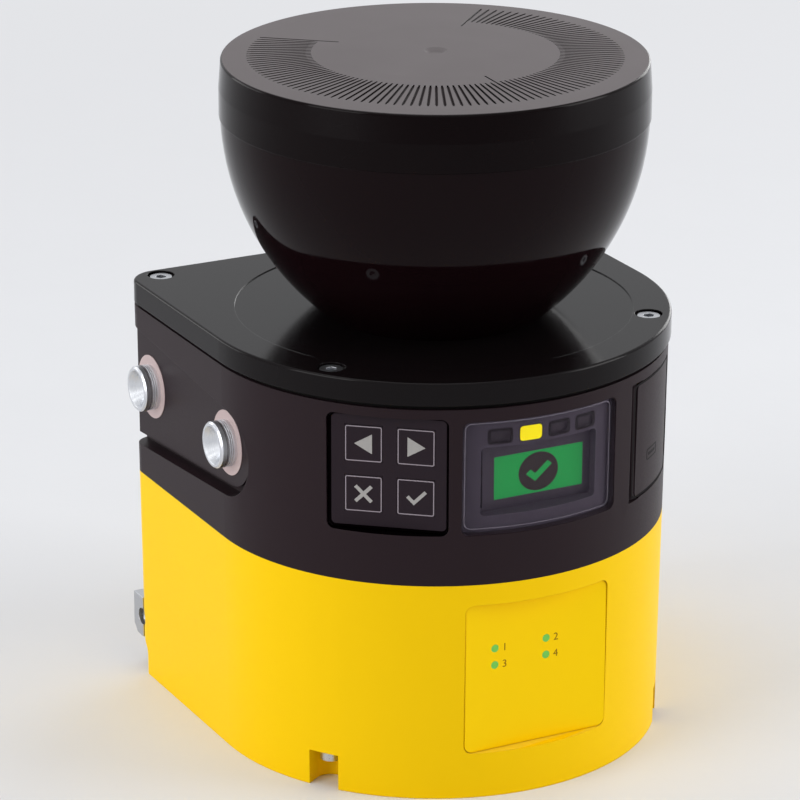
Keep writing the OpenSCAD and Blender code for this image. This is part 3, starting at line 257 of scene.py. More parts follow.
def grained(name, colour, roughness, grain, depth, spread=0.05, edge=0.25 * MM, **inputs):
    """Paint or moulded plastic: fine grain, soft colour blotches and uneven sheen."""
    mat, shader = new_material(name, **{"IOR": SOFT_IOR, **inputs})
    place = object_place(mat)
    fine = noise(mat, place, grain, FINE_DETAIL)
    broad = noise(mat, place, 28 * MM, BROAD_DETAIL)
    tint = blend_colours(mat, broad, scaled(colour, 1 - spread), scaled(colour, 1 + spread))
    link(mat, tint, shader.inputs["Base Color"])
    link(mat, noisy(mat, fine, roughness - 0.04, roughness + 0.04), shader.inputs["Roughness"])
    bumped(mat, shader, fine, depth, edge)
    return mat


def printed(name, colour, roughness=0.5, spread=0.02):
    """Ink of a printed sign."""
    return grained(
        name, colour, roughness, grain=0.2 * MM, depth=0.002 * MM, spread=spread, edge=0.0
    )


def turned(name, colour, roughness, centre, axis=0):
    """Turned metal: fine rings round an axis through centre, along X (0), Y (1) or Z (2)."""
    mat, shader = new_material(name, Metallic=1.0)
    shift = vector_maths(mat, "SUBTRACT", object_place(mat), centre)
    across = [0.0 if i == axis else 1.0 for i in range(3)]
    radius = vector_maths(mat, "LENGTH", vector_maths(mat, "MULTIPLY", shift, across))
    along = add(mat, "ShaderNodeSeparateXYZ", Vector=shift).outputs[axis]
    rings = add(mat, "ShaderNodeCombineXYZ", X=along, Y=radius).outputs[0]
    lines = noise(mat, rings, 0.16 * MM, BROAD_DETAIL)
    smear = noise(mat, object_place(mat), 3 * MM, BROAD_DETAIL)
    tint = blend_colours(mat, smear, scaled(colour, 0.9), colour)
    link(mat, tint, shader.inputs["Base Color"])
    link(mat, noisy(mat, lines, roughness - 0.06, roughness + 0.08), shader.inputs["Roughness"])
    bumped(mat, shader, lines, depth=0.004 * MM, edge=0.15 * MM)
    return mat


def milled(name, colour, roughness, stretch=(1, 12, 12)):
    """Milled or drawn metal: short scratches along one axis."""
    mat, shader = new_material(name, Metallic=1.0)
    lay = add(mat, "ShaderNodeMapping", Vector=object_place(mat), Scale=stretch)
    scratches = noise(mat, lay.outputs[0], 2 * MM, FINE_DETAIL)
    tint = blend_colours(mat, scratches, scaled(colour, 0.86), colour)
    link(mat, tint, shader.inputs["Base Color"])
    link(mat, noisy(mat, scratches, roughness - 0.05, roughness + 0.1), shader.inputs["Roughness"])
    bumped(mat, shader, scratches, depth=0.01 * MM, edge=0.2 * MM)
    return mat


def glowing(name, colour, strength, spread=0.04):
    """A lit window: it glows in its own colour, a little unevenly."""
    mat, shader = new_material(name, Roughness=0.35, IOR=SOFT_IOR, Emission_Strength=strength)
    broad = noise(mat, object_place(mat), 2 * MM, BROAD_DETAIL)
    tint = blend_colours(mat, broad, scaled(colour, 1 - spread), scaled(colour, 1 + spread))
    link(mat, tint, shader.inputs["Base Color"])
    link(mat, tint, shader.inputs["Emission Color"])
    return mat


def see_through(name, colour, roughness, alpha):
    """Tinted clear plastic that lets the rest through."""
    return grained(
        name, colour, roughness, grain=9 * MM, depth=0.0002 * MM, spread=0.04, edge=0.0, Alpha=alpha
    )


def lens_glass():
    """Coated glass with a purple tint."""
    return grained(
        "lens_glass", srgb(90, 40, 70), 0.06, grain=2 * MM, depth=0.0005 * MM, spread=0.04,
        edge=0.0, Transmission_Weight=0.8,
    )


def circuit_board():
    """Green solder mask with faint straight tracks."""
    mat, shader = new_material("circuit_board", Roughness=0.35)
    tracks = add(
        mat, "ShaderNodeTexBrick", Vector=object_place(mat), Scale=420.0, Mortar_Size=0.01,
        Color1=srgb(20, 96, 52), Color2=srgb(26, 108, 60), Mortar=srgb(52, 140, 84),
    )
    link(mat, tracks.outputs["Color"], shader.inputs["Base Color"])
    return mat


# ---------------------------------------------------------------- the cap's grooved top

FAN_PITCH = math.radians(2.5)
FAN_REACH = math.radians(137.5)
FAN_INNER = 29.8 * MM
FAN_OUTER = 42.4 * MM
GROOVE_CORE = 0.28 * MM
GROOVE_EDGE = 0.4 * MM
DIMPLE = 8 * MM


def dome_of(node):
    """Top height of a shallow dome, and its fall for each square metre of radius squared."""
    corners = corners_of(node)
    reach = max(math.hypot(c.x, c.y) for c in corners)
    top = max(c.z for c in corners)
    rim = max((c for c in corners if math.hypot(c.x, c.y) > 0.9 * reach), key=lambda c: c.z)
    return top, (top - rim.z) / (rim.x**2 + rim.y**2)


def fan_shade(mat, x, y, radius):
    """1 on the lines of painted shade along the grooves of the fan, which is open towards the rear,
    and 0 elsewhere.
    """
    angle = maths(mat, "ARCTAN2", x, maths(mat, "MULTIPLY", y, -1.0))
    off_line = maths(mat, "PINGPONG", maths(mat, "DIVIDE", angle, FAN_PITCH), 0.5)
    off_line = maths(mat, "MULTIPLY", off_line, maths(mat, "MULTIPLY", radius, FAN_PITCH))
    past_inner = ramp(mat, radius, FAN_INNER - 0.2 * MM, FAN_INNER)
    before_outer = ramp(mat, radius, FAN_OUTER + 0.2 * MM, FAN_OUTER)
    turn = maths(mat, "ABSOLUTE", angle, 0.0)
    before_end = ramp(mat, turn, FAN_REACH + 0.5 * FAN_PITCH, FAN_REACH)
    in_fan = maths(mat, "MULTIPLY", maths(mat, "MULTIPLY", past_inner, before_outer), before_end)
    return maths(mat, "MULTIPLY", in_fan, ramp(mat, off_line, GROOVE_EDGE, GROOVE_CORE))


def groove_shade(mat, z, square, radius):
    """1 in the grooves of the construction, which lie below the dome, but not in the dimple; there
    the grooves get painted shade.
    """
    dome_top, fall = dome_of("cover_cap")
    level = maths(mat, "ADD", z, maths(mat, "MULTIPLY", square, fall))
    sunk = ramp(mat, level, dome_top - 0.1 * MM, dome_top - 0.3 * MM)
    return maths(mat, "MULTIPLY", sunk, ramp(mat, radius, DIMPLE, DIMPLE + 1 * MM))


def cap_plastic():
    """Dark plastic: gloss on the band, and a finely textured top with painted shade in and beside
    its grooves.
    """
    mat, shader = new_material("cap_plastic", IOR=GLOSS_IOR)
    place = object_place(mat)
    grain = noise(mat, place, 0.22 * MM, FINE_DETAIL)
    broad = noise(mat, place, 20 * MM, BROAD_DETAIL)
    x, y, z = add(mat, "ShaderNodeSeparateXYZ", Vector=place).outputs
    square = maths(mat, "ADD", maths(mat, "MULTIPLY", x, x), maths(mat, "MULTIPLY", y, y))
    radius = maths(mat, "POWER", square, 0.5)
    top = maths(mat, "MAXIMUM", facing_up(mat), ramp(mat, radius, DIMPLE + 1 * MM, DIMPLE))
    # Painted shade: the grooves and a band along each fan line are coloured dark, for the shade
    # that falls in them.
    dark = maths(mat, "MAXIMUM", groove_shade(mat, z, square, radius), fan_shade(mat, x, y, radius))
    face = blend_colours(mat, broad, srgb(104, 99, 100), srgb(112, 107, 108))
    face = blend_colours(mat, dark, face, srgb(38, 29, 31))
    side = blend_colours(mat, broad, srgb(9, 3, 4), srgb(14, 6, 7))
    link(mat, blend_colours(mat, top, side, face), shader.inputs["Base Color"])
    link(mat, ramp(mat, top, 0, 1, 0.1, 0.6), shader.inputs["Roughness"])
    bumped(mat, shader, maths(mat, "MULTIPLY", grain, top), depth=0.02 * MM, edge=0.3 * MM)
    return mat


# ---------------------------------------------------------------- finishes of the CAD nodes

YELLOW = srgb(249, 203, 0)
LIT_YELLOW = srgb(246, 226, 0)
STEEL = srgb(196, 198, 202)
NICKEL = srgb(198, 196, 188)

LIP_REACH = 1.5 * MM
CUP_RADIUS = 4.8 * MM
CUP_DEPTH = 7.95 * MM


def dress(node, *mats):
    """Gives a CAD node these finishes in place of its own."""
    slots = mesh_of(node).materials
    slots.clear()
    for mat in mats:
        slots.append(mat)


def dress_all(mat, *nodes):
    """Gives several CAD nodes the same finish."""
    for node in nodes:
        dress(node, mat)


def dress_lip(node, filling, mat):
    """Gives the lip below a pocket a colour of its own, for painted light or shade: the faces near
    what fills it that look up.
    """
    low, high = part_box(filling)
    mesh = mesh_of(node)
    mesh.materials.append(mat)
    for polygon in mesh.polygons:
        near = all(
            low[i] - LIP_REACH < polygon.center[i] < high[i] + LIP_REACH for i in range(3)
        )
        if near and polygon.normal.z > 0.5:
            polygon.material_index = len(mesh.materials) - 1


def dress_connector(node, metal, inner):
    """Metal barrel, with what stands inside its cup in the inner finish."""
    dress(node, metal, inner)
    axis, rear = middle(node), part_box(node)[1].y
    for polygon in mesh_of(node).polygons:
        x, y, z = polygon.center
        in_cup = math.hypot(x - axis.x, z - axis.z) < CUP_RADIUS and y > rear - CUP_DEPTH
        polygon.material_index = 1 if in_cup else 0


def dress_housings():
    """Painted castings, their lid, seals and bare rings."""
    paint = {"grain": 0.5 * MM, "depth": 0.005 * MM, "spread": 0.012, "IOR": GLOSS_IOR}
    dress_all(grained("yellow_paint", YELLOW, 0.4, **paint), "lower_housing")
    # Painted light: the network panel gets a lighter yellow than the housing, to make up for the
    # shade in its pocket.
    dress_all(grained("panel_painted_light", srgb(255, 210, 0), 0.4, **paint), "network_panel")
    black = grained("black_paint", srgb(36, 25, 29), 0.38, grain=0.35 * MM, depth=0.006 * MM)
    dress_all(black, "upper_housing", "service_flap")
    gloss = grained("lid_paint", srgb(16, 12, 13), 0.13, grain=0.6 * MM, depth=0.0012 * MM)
    dress_all(gloss, "lid")
    rubber_and_painted_shade = grained("gasket_rubber", srgb(14, 12, 12), 0.75, grain=0.5 * MM, depth=0.02 * MM)
    dress_all(rubber_and_painted_shade, "middle_gasket", "lid_gasket", "cover_seal")
    bare = grained(
        "bare_casting", srgb(196, 176, 174), 0.42, grain=0.3 * MM, depth=0.006 * MM, spread=0.04,
        Metallic=0.3,
    )
    dress_all(bare, "bush_rings")


def dress_lips():
    """Painted shade below the keypad, and painted light below the network panel: a paler yellow on
    its lip.
    """
    # Painted shade: near-black on the lip below the keypad, where shade falls.
    shade = grained(
        "pocket_shade", srgb(4, 2, 3), 0.8, grain=0.5 * MM, depth=0.002 * MM, IOR=DULL_IOR
    )
    dress_lip("upper_housing", "keypad_panel", shade)
    # Painted light: a paler yellow on the lip below the network panel, standing in for how light
    # falls there, so it matches the yellow round it.
    network_lip_light = grained(
        "network_lip_painted_light", srgb(240, 203, 42), 0.5, grain=0.5 * MM, depth=0.002 * MM, IOR=GLOSS_IOR
    )
    dress_lip("lower_housing", "network_panel", network_lip_light)


def dress_cover():
    """Dark glossy bowl and its cap."""
    cover = grained(
        "cover_plastic", srgb(17, 6, 8), 0.07, grain=3 * MM, depth=0.0006 * MM, spread=0.1,
        edge=0.3 * MM, IOR=GLOSS_IOR,
    )
    dress_all(cover, "optics_cover")
    dress_all(cap_plastic(), "cover_cap")


def dress_keypad_and_display():
    """Keypad film, smoked window, tray, screen and the status and network lights."""
    film = grained(
        "keypad_film", srgb(38, 29, 35), 0.42, grain=0.16 * MM, depth=0.005 * MM, spread=0.02,
        edge=0.15 * MM,
    )
    dress_all(film, "keypad_panel", "key_previous", "key_next", "key_cancel", "key_confirm")
    tray = grained(
        "tray_plastic", srgb(66, 58, 69), 0.45, grain=2 * MM, depth=0.0005 * MM, edge=0.0
    )
    dress_all(tray, "display_tray")
    dress_all(see_through("smoked_window", srgb(98, 92, 106), 0.1, 0.06), "display_window")
    screen = grained("screen_glass", srgb(66, 58, 68), 0.3, grain=2 * MM, depth=0.0, edge=0.0)
    dress_all(screen, "display_module")
    unlit = grained("light_window", srgb(50, 42, 48), 0.3, grain=1 * MM, depth=0.001 * MM)
    dress_all(unlit, "status_lights")
    dress_all(glowing("light_window_on", LIT_YELLOW, 0.35), "status_light_on")
    dress_all(glowing("network_light", srgb(112, 190, 84), 0.12), "network_lights")


def dress_inner_parts():
    """Boards, optics, motor, fasteners and other parts of steel."""
    dress_all(
        circuit_board(),
        "keypad_board", "display_board", "network_board", "main_board", "receiver_board",
    )
    moulded = grained("moulded_black", srgb(34, 33, 34), 0.5, grain=0.3 * MM, depth=0.01 * MM)
    dress_all(moulded, "connection_module", "mirror_holder", "optics_barrel", "encoder_sensor")
    dress_all(
        milled("machined_steel", STEEL, 0.3),
        "lid_screws", "housing_screws", "flap_hinge_pin", "module_screws", "board_spacers",
        "rotor_bearings", "rotor_shaft", "service_socket", *LUGS,
    )
    dress_all(milled("cast_frame", srgb(176, 178, 182), 0.45), "optics_frame")
    dress_all(milled("rotor_metal", srgb(150, 150, 154), 0.35), "motor_rotor", "encoder_disc")
    dress_all(turned("laser_brass", srgb(206, 172, 100), 0.25, (0, 0, 0), axis=2), "laser_module")
    dress_all(milled("winding_copper", srgb(190, 112, 62), 0.35, (30, 30, 3)), "motor_stator")
    dress_all(milled("mirror_face", srgb(240, 243, 248), 0.08), "scan_mirror")
    dress_all(lens_glass(), "receiver_lens")


def dress_turned_parts():
    """Bushes, and connectors with gold or plastic in their cups."""
    for node in BUSHES:
        dress(node, turned("turned_" + node, srgb(218, 220, 224), 0.3, middle(node)))
    gold = milled("contact_gold", srgb(226, 186, 104), 0.25)
    insert = grained("insert_plastic", srgb(30, 30, 32), 0.4, grain=0.3 * MM, depth=0.004 * MM)
    for node, inner in zip(CONNECTORS, (gold, insert, insert)):
        dress_connector(node, turned("nickel_" + node, NICKEL, 0.2, middle(node), axis=1), inner)


# ---------------------------------------------------------------- drawing places and thin pieces

SIGN_THICKNESS = 0.02 * MM
CORNER_STEPS = 5
BEND_STEP = 1.2 * MM


class Face:
    """A flat drawing place: x to the right and y up as seen from outside, depth out of it."""

    def __init__(self, origin, outward):
        self.origin = Vector(origin)
        self.outward = Vector(outward).normalized()
        self.right = UP.cross(self.outward).normalized()

    def at(self, x, y, depth=0.0):
        """The point at x and y, depth out of the face."""
        return self.origin + self.right * x + UP * y + self.outward * depth


class RoundWall:
    """A drawing place on a node's round, tapered outer wall, with x and y from its middle."""

    def __init__(self, node, turn=0.0):
        self.outward = Matrix.Rotation(turn, 3, "Z") @ FRONT
        self.right = UP.cross(self.outward)
        corners = corners_of(node)
        self.low, self.high = min(c.z for c in corners), max(c.z for c in corners)
        self.radii = [
            max(math.hypot(c.x, c.y) for c in corners if abs(c.z - z) < 0.01 * MM)
            for z in (self.low, self.high)
        ]

    def at(self, x, y, depth=0.0):
        """The point at x and y, depth out of the wall."""
        z = (self.low + self.high) / 2 + y
        share = (z - self.low) / (self.high - self.low)
        radius = self.radii[0] + (self.radii[1] - self.radii[0]) * share + depth
        return self.right * x + self.outward * math.sqrt(radius**2 - x**2) + UP * z


def outer_face(node, outward):
    """The flat face of a CAD node that lies farthest outward, with its middle as origin."""
    outward = Vector(outward).normalized()
    right = UP.cross(outward).normalized()
    corners = corners_of(node)
    reach = max(c.dot(outward) for c in corners)
    rim = [c for c in corners if c.dot(outward) > reach - 0.01 * MM]
    across = [c.dot(right) for c in rim]
    heights = [c.z for c in rim]
    centre = right * (min(across) + max(across)) / 2 + UP * (min(heights) + max(heights)) / 2
    return Face(centre + outward * reach, outward)


def arc(centre, radius, start, end, steps):
    """Points on an arc from start to end degrees."""
    turns = [math.radians(start + (end - start) * i / steps) for i in range(steps + 1)]
    return [(centre[0] + radius * math.cos(t), centre[1] + radius * math.sin(t)) for t in turns]


def rounded_rect(width, height, radius):
    """Outline of a rectangle with round corners, counter-clockwise from the right."""
    points = []
    for i, (sx, sy) in enumerate(((1, 1), (-1, 1), (-1, -1), (1, -1))):
        centre = (sx * (width / 2 - radius), sy * (height / 2 - radius))
        points += arc(centre, radius, 90 * i, 90 * i + 90, CORNER_STEPS)
    return points


def stretched(outline, across, up):
    """An outline scaled to the right and up."""
    return [(x * across, y * up) for x, y in outline]


def frame_outlines(width, height, radius, line, centre=(0, 0)):
    """Outer and inner outline of a rounded frame, with as many points each and no long edge."""
    inner_radius = max(radius - line, 0.1 * MM)
    outer = rounded_rect(width, height, radius)
    inner = rounded_rect(width - 2 * line, height - 2 * line, inner_radius)
    pairs = []
    for i in range(len(outer)):
        following = (i + 1) % len(outer)
        parts = max(1, math.ceil(math.dist(outer[i], outer[following]) / BEND_STEP))
        for part in range(parts):
            share = part / parts
            pairs.append([
                tuple(a + (b - a) * share + c for a, b, c in zip(edge[i], edge[following], centre))
                for edge in (outer, inner)
            ])
    return [pair[0] for pair in pairs], [pair[1] for pair in pairs]


def add_plate(mesh, place, outline, thickness=SIGN_THICKNESS, base=0.0):
    """A thin plate with that outline, standing on base. place(x, y, depth) gives its points."""
    low = [mesh.verts.new(place(x, y, base)) for x, y in outline]
    high = [mesh.verts.new(place(x, y, base + thickness)) for x, y in outline]
    mesh.faces.new(high)
    mesh.faces.new(reversed(low))
    for i, corner in enumerate(low):
        following = (i + 1) % len(low)
        mesh.faces.new((corner, low[following], high[following], high[i]))


def add_ring(mesh, place, outer, inner, thickness=SIGN_THICKNESS, base=0.0):
    """A thin ring between two outlines that have as many points."""
    loops = [
        [mesh.verts.new(place(x, y, base + rise)) for x, y in outline]
        for outline, rise in ((outer, 0), (outer, thickness), (inner, thickness), (inner, 0))
    ]
    for i in range(len(outer)):
        following = (i + 1) % len(outer)
        for loop, neighbour in zip(loops, loops[1:] + loops[:1]):
            mesh.faces.new((loop[i], loop[following], neighbour[following], neighbour[i]))


def add_curved_plate(mesh, place, width, height, radius, centre, base=0.0):
    """A rounded plate in small faces, so that it lies close on a round wall."""
    line = 0.46 * height
    outer, inner = frame_outlines(width, height, radius, line, centre)
    add_ring(mesh, place, outer, inner, SIGN_THICKNESS, base)
    add_plate(mesh, place, inner, SIGN_THICKNESS, base)


def piece(name, mesh, mat, body, smooth=False):
    """Turns a bmesh into an object that rides on a body."""
    bmesh.ops.recalc_face_normals(mesh, faces=mesh.faces)
    data = bpy.data.meshes.new(name)
    mesh.to_mesh(data)
    mesh.free()
    data.materials.append(mat)
    for polygon in data.polygons:
        polygon.use_smooth = smooth
    made = bpy.data.objects.new(name, data)
    bpy.context.scene.collection.objects.link(made)
    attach(made, body)


# ---------------------------------------------------------------- keypad

KEY_LINE = 0.24 * MM
KEY_LINE_CORNER = 0.45 * MM
KEY_MARGIN = 0.75 * MM
SIGN_DROP = 0.12 * MM

KEYPAD_CORNER = 1.5 * MM
GAP_SHADE_WIDTH = 0.42 * MM
GAP_SHADE_SHIFT = 0.2 * MM
GAP_SHADE_THICKNESS = 0.03 * MM


def arrow(direction):
    """Triangle that points left (-1) or right (1)."""
    tip, tail, half = 2.15 * MM, -1.95 * MM, 2.35 * MM
    return [(direction * tip, 0), (direction * tail, half), (direction * tail, -half)]


def cross():
    """Two bars that cross at right angles, as one outline."""
    reach, half = 2.6 * MM, 0.42 * MM
    points = []
    for turn in range(45, 405, 90):
        c, s = math.cos(math.radians(turn)), math.sin(math.radians(turn))
        for x, y in ((half, -half), (reach, -half), (reach, half)):
            points.append((c * x - s * y, s * x + c * y))
    return points


def tick(corner, short, long, half):
    """Check mark with its corner at a place, and two arms of given lengths, 2 half thick."""
    c = math.sqrt(0.5)
    arms = (
        (-half, -half), (-half, long), (half, long), (half, half), (short, half), (short, -half),
    )
    return [(corner[0] + c * (up - left), corner[1] + c * (up + left)) for left, up in arms]


def key_signs():
    """Printed frame and symbol on each key."""
    ink = printed("printed_grey", srgb(166, 163, 160))
    line_ink = printed("printed_line", srgb(150, 140, 147))
    symbols = {
        "key_previous": arrow(-1),
        "key_next": arrow(1),
        "key_cancel": cross(),
        "key_confirm": tick(
            (-0.46 * MM, -1.27 * MM), short=2.05 * MM, long=3.85 * MM, half=0.4 * MM
        ),
    }
    for key, symbol in symbols.items():
        face = outer_face(key, -press_direction(key))
        face.origin = face.at(0, -SIGN_DROP)
        side = height_of(key) - 2 * KEY_MARGIN
        sign, line = bmesh.new(), bmesh.new()
        add_plate(sign, face.at, symbol)
        add_ring(line, face.at, *frame_outlines(side, side, KEY_LINE_CORNER, KEY_LINE))
        piece("sign_" + key, sign, ink, key)
        piece("line_" + key, line, line_ink, key)


def keypad_seal():
    """Painted shade round the keypad panel: a dark ring where its gap lies, widest at its left and
    foot.
    """
    face = outer_face("keypad_panel", -press_direction("key_next"))
    size = (height_of("keypad_panel"), height_of("keypad_panel"), KEYPAD_CORNER, GAP_SHADE_WIDTH)
    # Painted shade: near-black ring for the shade in the gap round the recessed keypad panel.
    rubber_and_painted_shade = grained(
        "keypad_gap_painted_shade", srgb(4, 2, 3), 0.8, grain=0.4 * MM, depth=0.005 * MM, edge=0.0, IOR=DULL_IOR
    )
    outer = frame_outlines(*size)[0]
    inner = frame_outlines(*size, centre=(GAP_SHADE_SHIFT, GAP_SHADE_SHIFT))[1]
    shade_ring = bmesh.new()
    add_ring(shade_ring, face.at, outer, inner, GAP_SHADE_THICKNESS)
    piece("keypad_seal", shade_ring, rubber_and_painted_shade, "housing")


# ---------------------------------------------------------------- display

PICTURE = (22.8 * MM, 10.2 * MM)
PICTURE_CORNER = 0.2 * MM
PICTURE_CENTRE = (1.2 * MM, -0.7 * MM)
DISC_RADIUS = 4.88 * MM
DISC_POINTS = 48

WINDOW_HIGHLIGHT = (37.0 * MM, 25.4 * MM)
WINDOW_HIGHLIGHT_CENTRE = (-0.7 * MM, 0.6 * MM)
WINDOW_HIGHLIGHT_CORNER = 1.6 * MM
WINDOW_HIGHLIGHT_WIDTH = 0.18 * MM
WINDOW_HIGHLIGHT_THICKNESS = 0.015 * MM

LIGHT_REACH = 6 * MM
LIGHT_FRAME = (5.9 * MM, 3.8 * MM)
LIGHT_FRAME_CORNER = 0.9 * MM
LIGHT_FRAME_WIDTH = 0.8 * MM
LIGHT_FACE = (5.4 * MM, 3.5 * MM)
LIGHT_FACE_CORNER = 0.8 * MM
LIGHT_FACE_RISE = 0.04 * MM


def screen_picture():
    """Lit screen with a check mark in a dark disc."""
    face = outer_face("display_module", FRONT)
    face.origin = face.at(*PICTURE_CENTRE)
    green = glowing("screen_green", srgb(27, 136, 64), 0.36, spread=0.03)
    dark = grained(
        "screen_dark", srgb(52, 42, 42), 0.4, grain=2 * MM, depth=0.001 * MM, spread=0.03, edge=0.0
    )
    last_turn = 360 - 360 / DISC_POINTS
    disc_outline = arc((0, 0), DISC_RADIUS, 0, last_turn, DISC_POINTS - 1)
    check = tick((-0.75 * MM, -1.5 * MM), short=2.4 * MM, long=4.9 * MM, half=0.74 * MM)
    picture, disc, mark = bmesh.new(), bmesh.new(), bmesh.new()
    add_plate(picture, face.at, rounded_rect(*PICTURE, PICTURE_CORNER))
    add_plate(disc, face.at, stretched(disc_outline, 1.05, 0.95), base=SIGN_THICKNESS)
    add_plate(mark, face.at, stretched(check, 1.07, 0.9), base=2 * SIGN_THICKNESS)
    piece("screen_picture", picture, green, "housing")
    piece("screen_disc", disc, dark, "housing")
    piece("screen_mark", mark, green, "housing")


def window_line():
    """Painted highlight: a faint light line near the rim of the display window, for the light
    caught on its bevelled edge.
    """
    wall = RoundWall("display_window")
    outlines = frame_outlines(
        *WINDOW_HIGHLIGHT, WINDOW_HIGHLIGHT_CORNER, WINDOW_HIGHLIGHT_WIDTH, WINDOW_HIGHLIGHT_CENTRE
    )
    line = bmesh.new()
    add_ring(line, wall.at, *outlines, WINDOW_HIGHLIGHT_THICKNESS)
    # Painted highlight: pale see-through ring that stands in for light on the window's edge.
    tint = see_through("window_painted_highlight", srgb(160, 153, 165), 0.2, 0.26)
    piece("window_line", line, tint, "housing")


def status_light_faces():
    """Dark frames round the status lights, and the glowing face of the lit one."""
    tray = RoundWall("display_tray")
    tray_middle = (tray.low + tray.high) / 2
    dark = grained(
        "light_frame", srgb(24, 15, 20), 0.5, grain=1 * MM, depth=0.002 * MM, edge=0.0
    )
    frames, glow = bmesh.new(), bmesh.new()
    [lit] = solid_middles("status_light_on", LIGHT_REACH)
    for x, z in solid_middles("status_lights", LIGHT_REACH) + [lit]:
        centre = (x, z - tray_middle)
        outlines = frame_outlines(*LIGHT_FRAME, LIGHT_FRAME_CORNER, LIGHT_FRAME_WIDTH, centre)
        add_ring(frames, tray.at, *outlines)
    centre = (lit[0], lit[1] - tray_middle)
    add_curved_plate(glow, tray.at, *LIGHT_FACE, LIGHT_FACE_CORNER, centre, LIGHT_FACE_RISE)
    piece("status_frames", frames, dark, "housing")
    piece("status_glow", glow, glowing("status_glow", LIT_YELLOW, 0.35), "housing")


# ---------------------------------------------------------------- service flap

FLAP_TURN = math.radians(41.5)
FLAP_WIDTH = 24.2 * MM
FLAP_CORNER = 1.6 * MM
FLAP_GAP_SHADE = 0.5 * MM
SOCKET_SIGN = (6.4 * MM, 2.8 * MM)
SOCKET_SIGN_CORNER = 0.5 * MM
SOCKET_SIGN_LINE = 0.35 * MM
SOCKET_SIGN_CENTRE = (-1.6 * MM, -5.2 * MM)
SOCKET_TONGUE = (4.2 * MM, 0.7 * MM)
SOCKET_TONGUE_CORNER = 0.1 * MM


def flap_details():
    """Painted shade round the service flap, a dark ring where its gap lies, and a plain socket sign
    on it.
    """
    flap = RoundWall("service_flap", FLAP_TURN)
    # Painted shade: near-black ring for the shade in the gap round the flap.
    rubber_and_painted_shade = grained("flap_gap_painted_shade", srgb(9, 6, 7), 0.7, grain=0.4 * MM, depth=0.01 * MM, edge=0.0)
    dark = grained(
        "sign_dark", srgb(12, 8, 9), 0.5, grain=0.3 * MM, depth=0.002 * MM, spread=0.04, edge=0.0
    )
    shade_ring, sign = bmesh.new(), bmesh.new()
    rim = frame_outlines(FLAP_WIDTH, height_of("service_flap"), FLAP_CORNER, FLAP_GAP_SHADE)
    add_ring(shade_ring, flap.at, *rim)
    socket = frame_outlines(*SOCKET_SIGN, SOCKET_SIGN_CORNER, SOCKET_SIGN_LINE, SOCKET_SIGN_CENTRE)
    add_ring(sign, flap.at, *socket)
    add_curved_plate(sign, flap.at, *SOCKET_TONGUE, SOCKET_TONGUE_CORNER, SOCKET_SIGN_CENTRE)
    piece("flap_gap_shade", shade_ring, rubber_and_painted_shade, "service_flap")
    piece("flap_sign", sign, dark, "service_flap")


# ---------------------------------------------------------------- screw threads

THREAD_STEPS = 32
THREAD_FLANK = 0.42
THREAD_END = 0.02

BORE_THREAD = {"radius": 2.1 * MM, "tip": 1.72 * MM, "pitch": 0.8 * MM}
BUSH_MOUTH = 3.4 * MM
BUSH_THREAD_LENGTH = 7 * MM
LUG_HOLE_Y = 50.8 * MM
LUG_HOLE_Z = 13.8 * MM
LUG_MOUTH = 0.8 * MM
LUG_THREAD_LENGTH = 11 * MM

BARREL_THREAD = {"radius": 6.0 * MM, "tip": 6.32 * MM, "pitch": 1.0 * MM}
BARREL_MOUTH = 0.5 * MM
BARREL_THREAD_LENGTH = 8.0 * MM


def add_thread(mesh, start, axis, length, radius, tip, pitch):
    """Helical ridge from radius to tip round an axis, fading out over its end half turns."""
    axis = Vector(axis).normalized()
    across = axis.orthogonal().normalized()
    beside = axis.cross(across)
    count = round(length / pitch * THREAD_STEPS)
    sections = []
    for i in range(count + 1):
        turn = 2 * math.pi * i / THREAD_STEPS
        out = across * math.cos(turn) + beside * math.sin(turn)
        from_end = min(i, count - i)
        crest = radius + (tip - radius) * min(1.0, 2 * from_end / THREAD_STEPS + THREAD_END)
        foot = Vector(start) + axis * (pitch * i / THREAD_STEPS)
        sections.append([
            mesh.verts.new(foot + out * radius - axis * THREAD_FLANK * pitch),
            mesh.verts.new(foot + out * crest),
            mesh.verts.new(foot + out * radius + axis * THREAD_FLANK * pitch),
        ])
    for first, second in zip(sections, sections[1:]):
        for i in range(3):
            following = (i + 1) % 3
            mesh.faces.new((first[i], first[following], second[following], second[i]))
    mesh.faces.new(sections[0])
    mesh.faces.new(reversed(sections[-1]))


def thread_piece(node, mat, start, axis, length, thread):
    """The thread of a node as a piece of its own."""
    mesh = bmesh.new()
    add_thread(mesh, start, axis, length, **thread)
    piece("thread_" + node, mesh, mat, "housing", smooth=True)


def screw_threads():
    """Threads in the bushes and lugs and on the connector barrels."""
    bright = milled("thread_steel", STEEL, 0.25, (1, 1, 1))
    for node in BUSHES:
        low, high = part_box(node)
        inward = inward_from_side(node)
        start = middle(node) - inward * (high.x - low.x) / 2 + inward * BUSH_MOUTH
        thread_piece(node, bright, start, inward, BUSH_THREAD_LENGTH, BORE_THREAD)
    for node in LUGS:
        low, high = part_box(node)
        inward = inward_from_side(node)
        mouth = Vector((low.x if inward.x > 0 else high.x, LUG_HOLE_Y, LUG_HOLE_Z))
        start = mouth + inward * LUG_MOUTH
        thread_piece(node, bright, start, inward, LUG_THREAD_LENGTH, BORE_THREAD)
    nickel = milled("thread_nickel", NICKEL, 0.22, (1, 1, 1))
    for node in CONNECTORS:
        axis, rear = middle(node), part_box(node)[1].y
        start = Vector((axis.x, rear - BARREL_MOUTH, axis.z))
        thread_piece(
            node, nickel, start, FRONT, BARREL_THREAD_LENGTH, BARREL_THREAD
        )


# ---------------------------------------------------------------- network panel

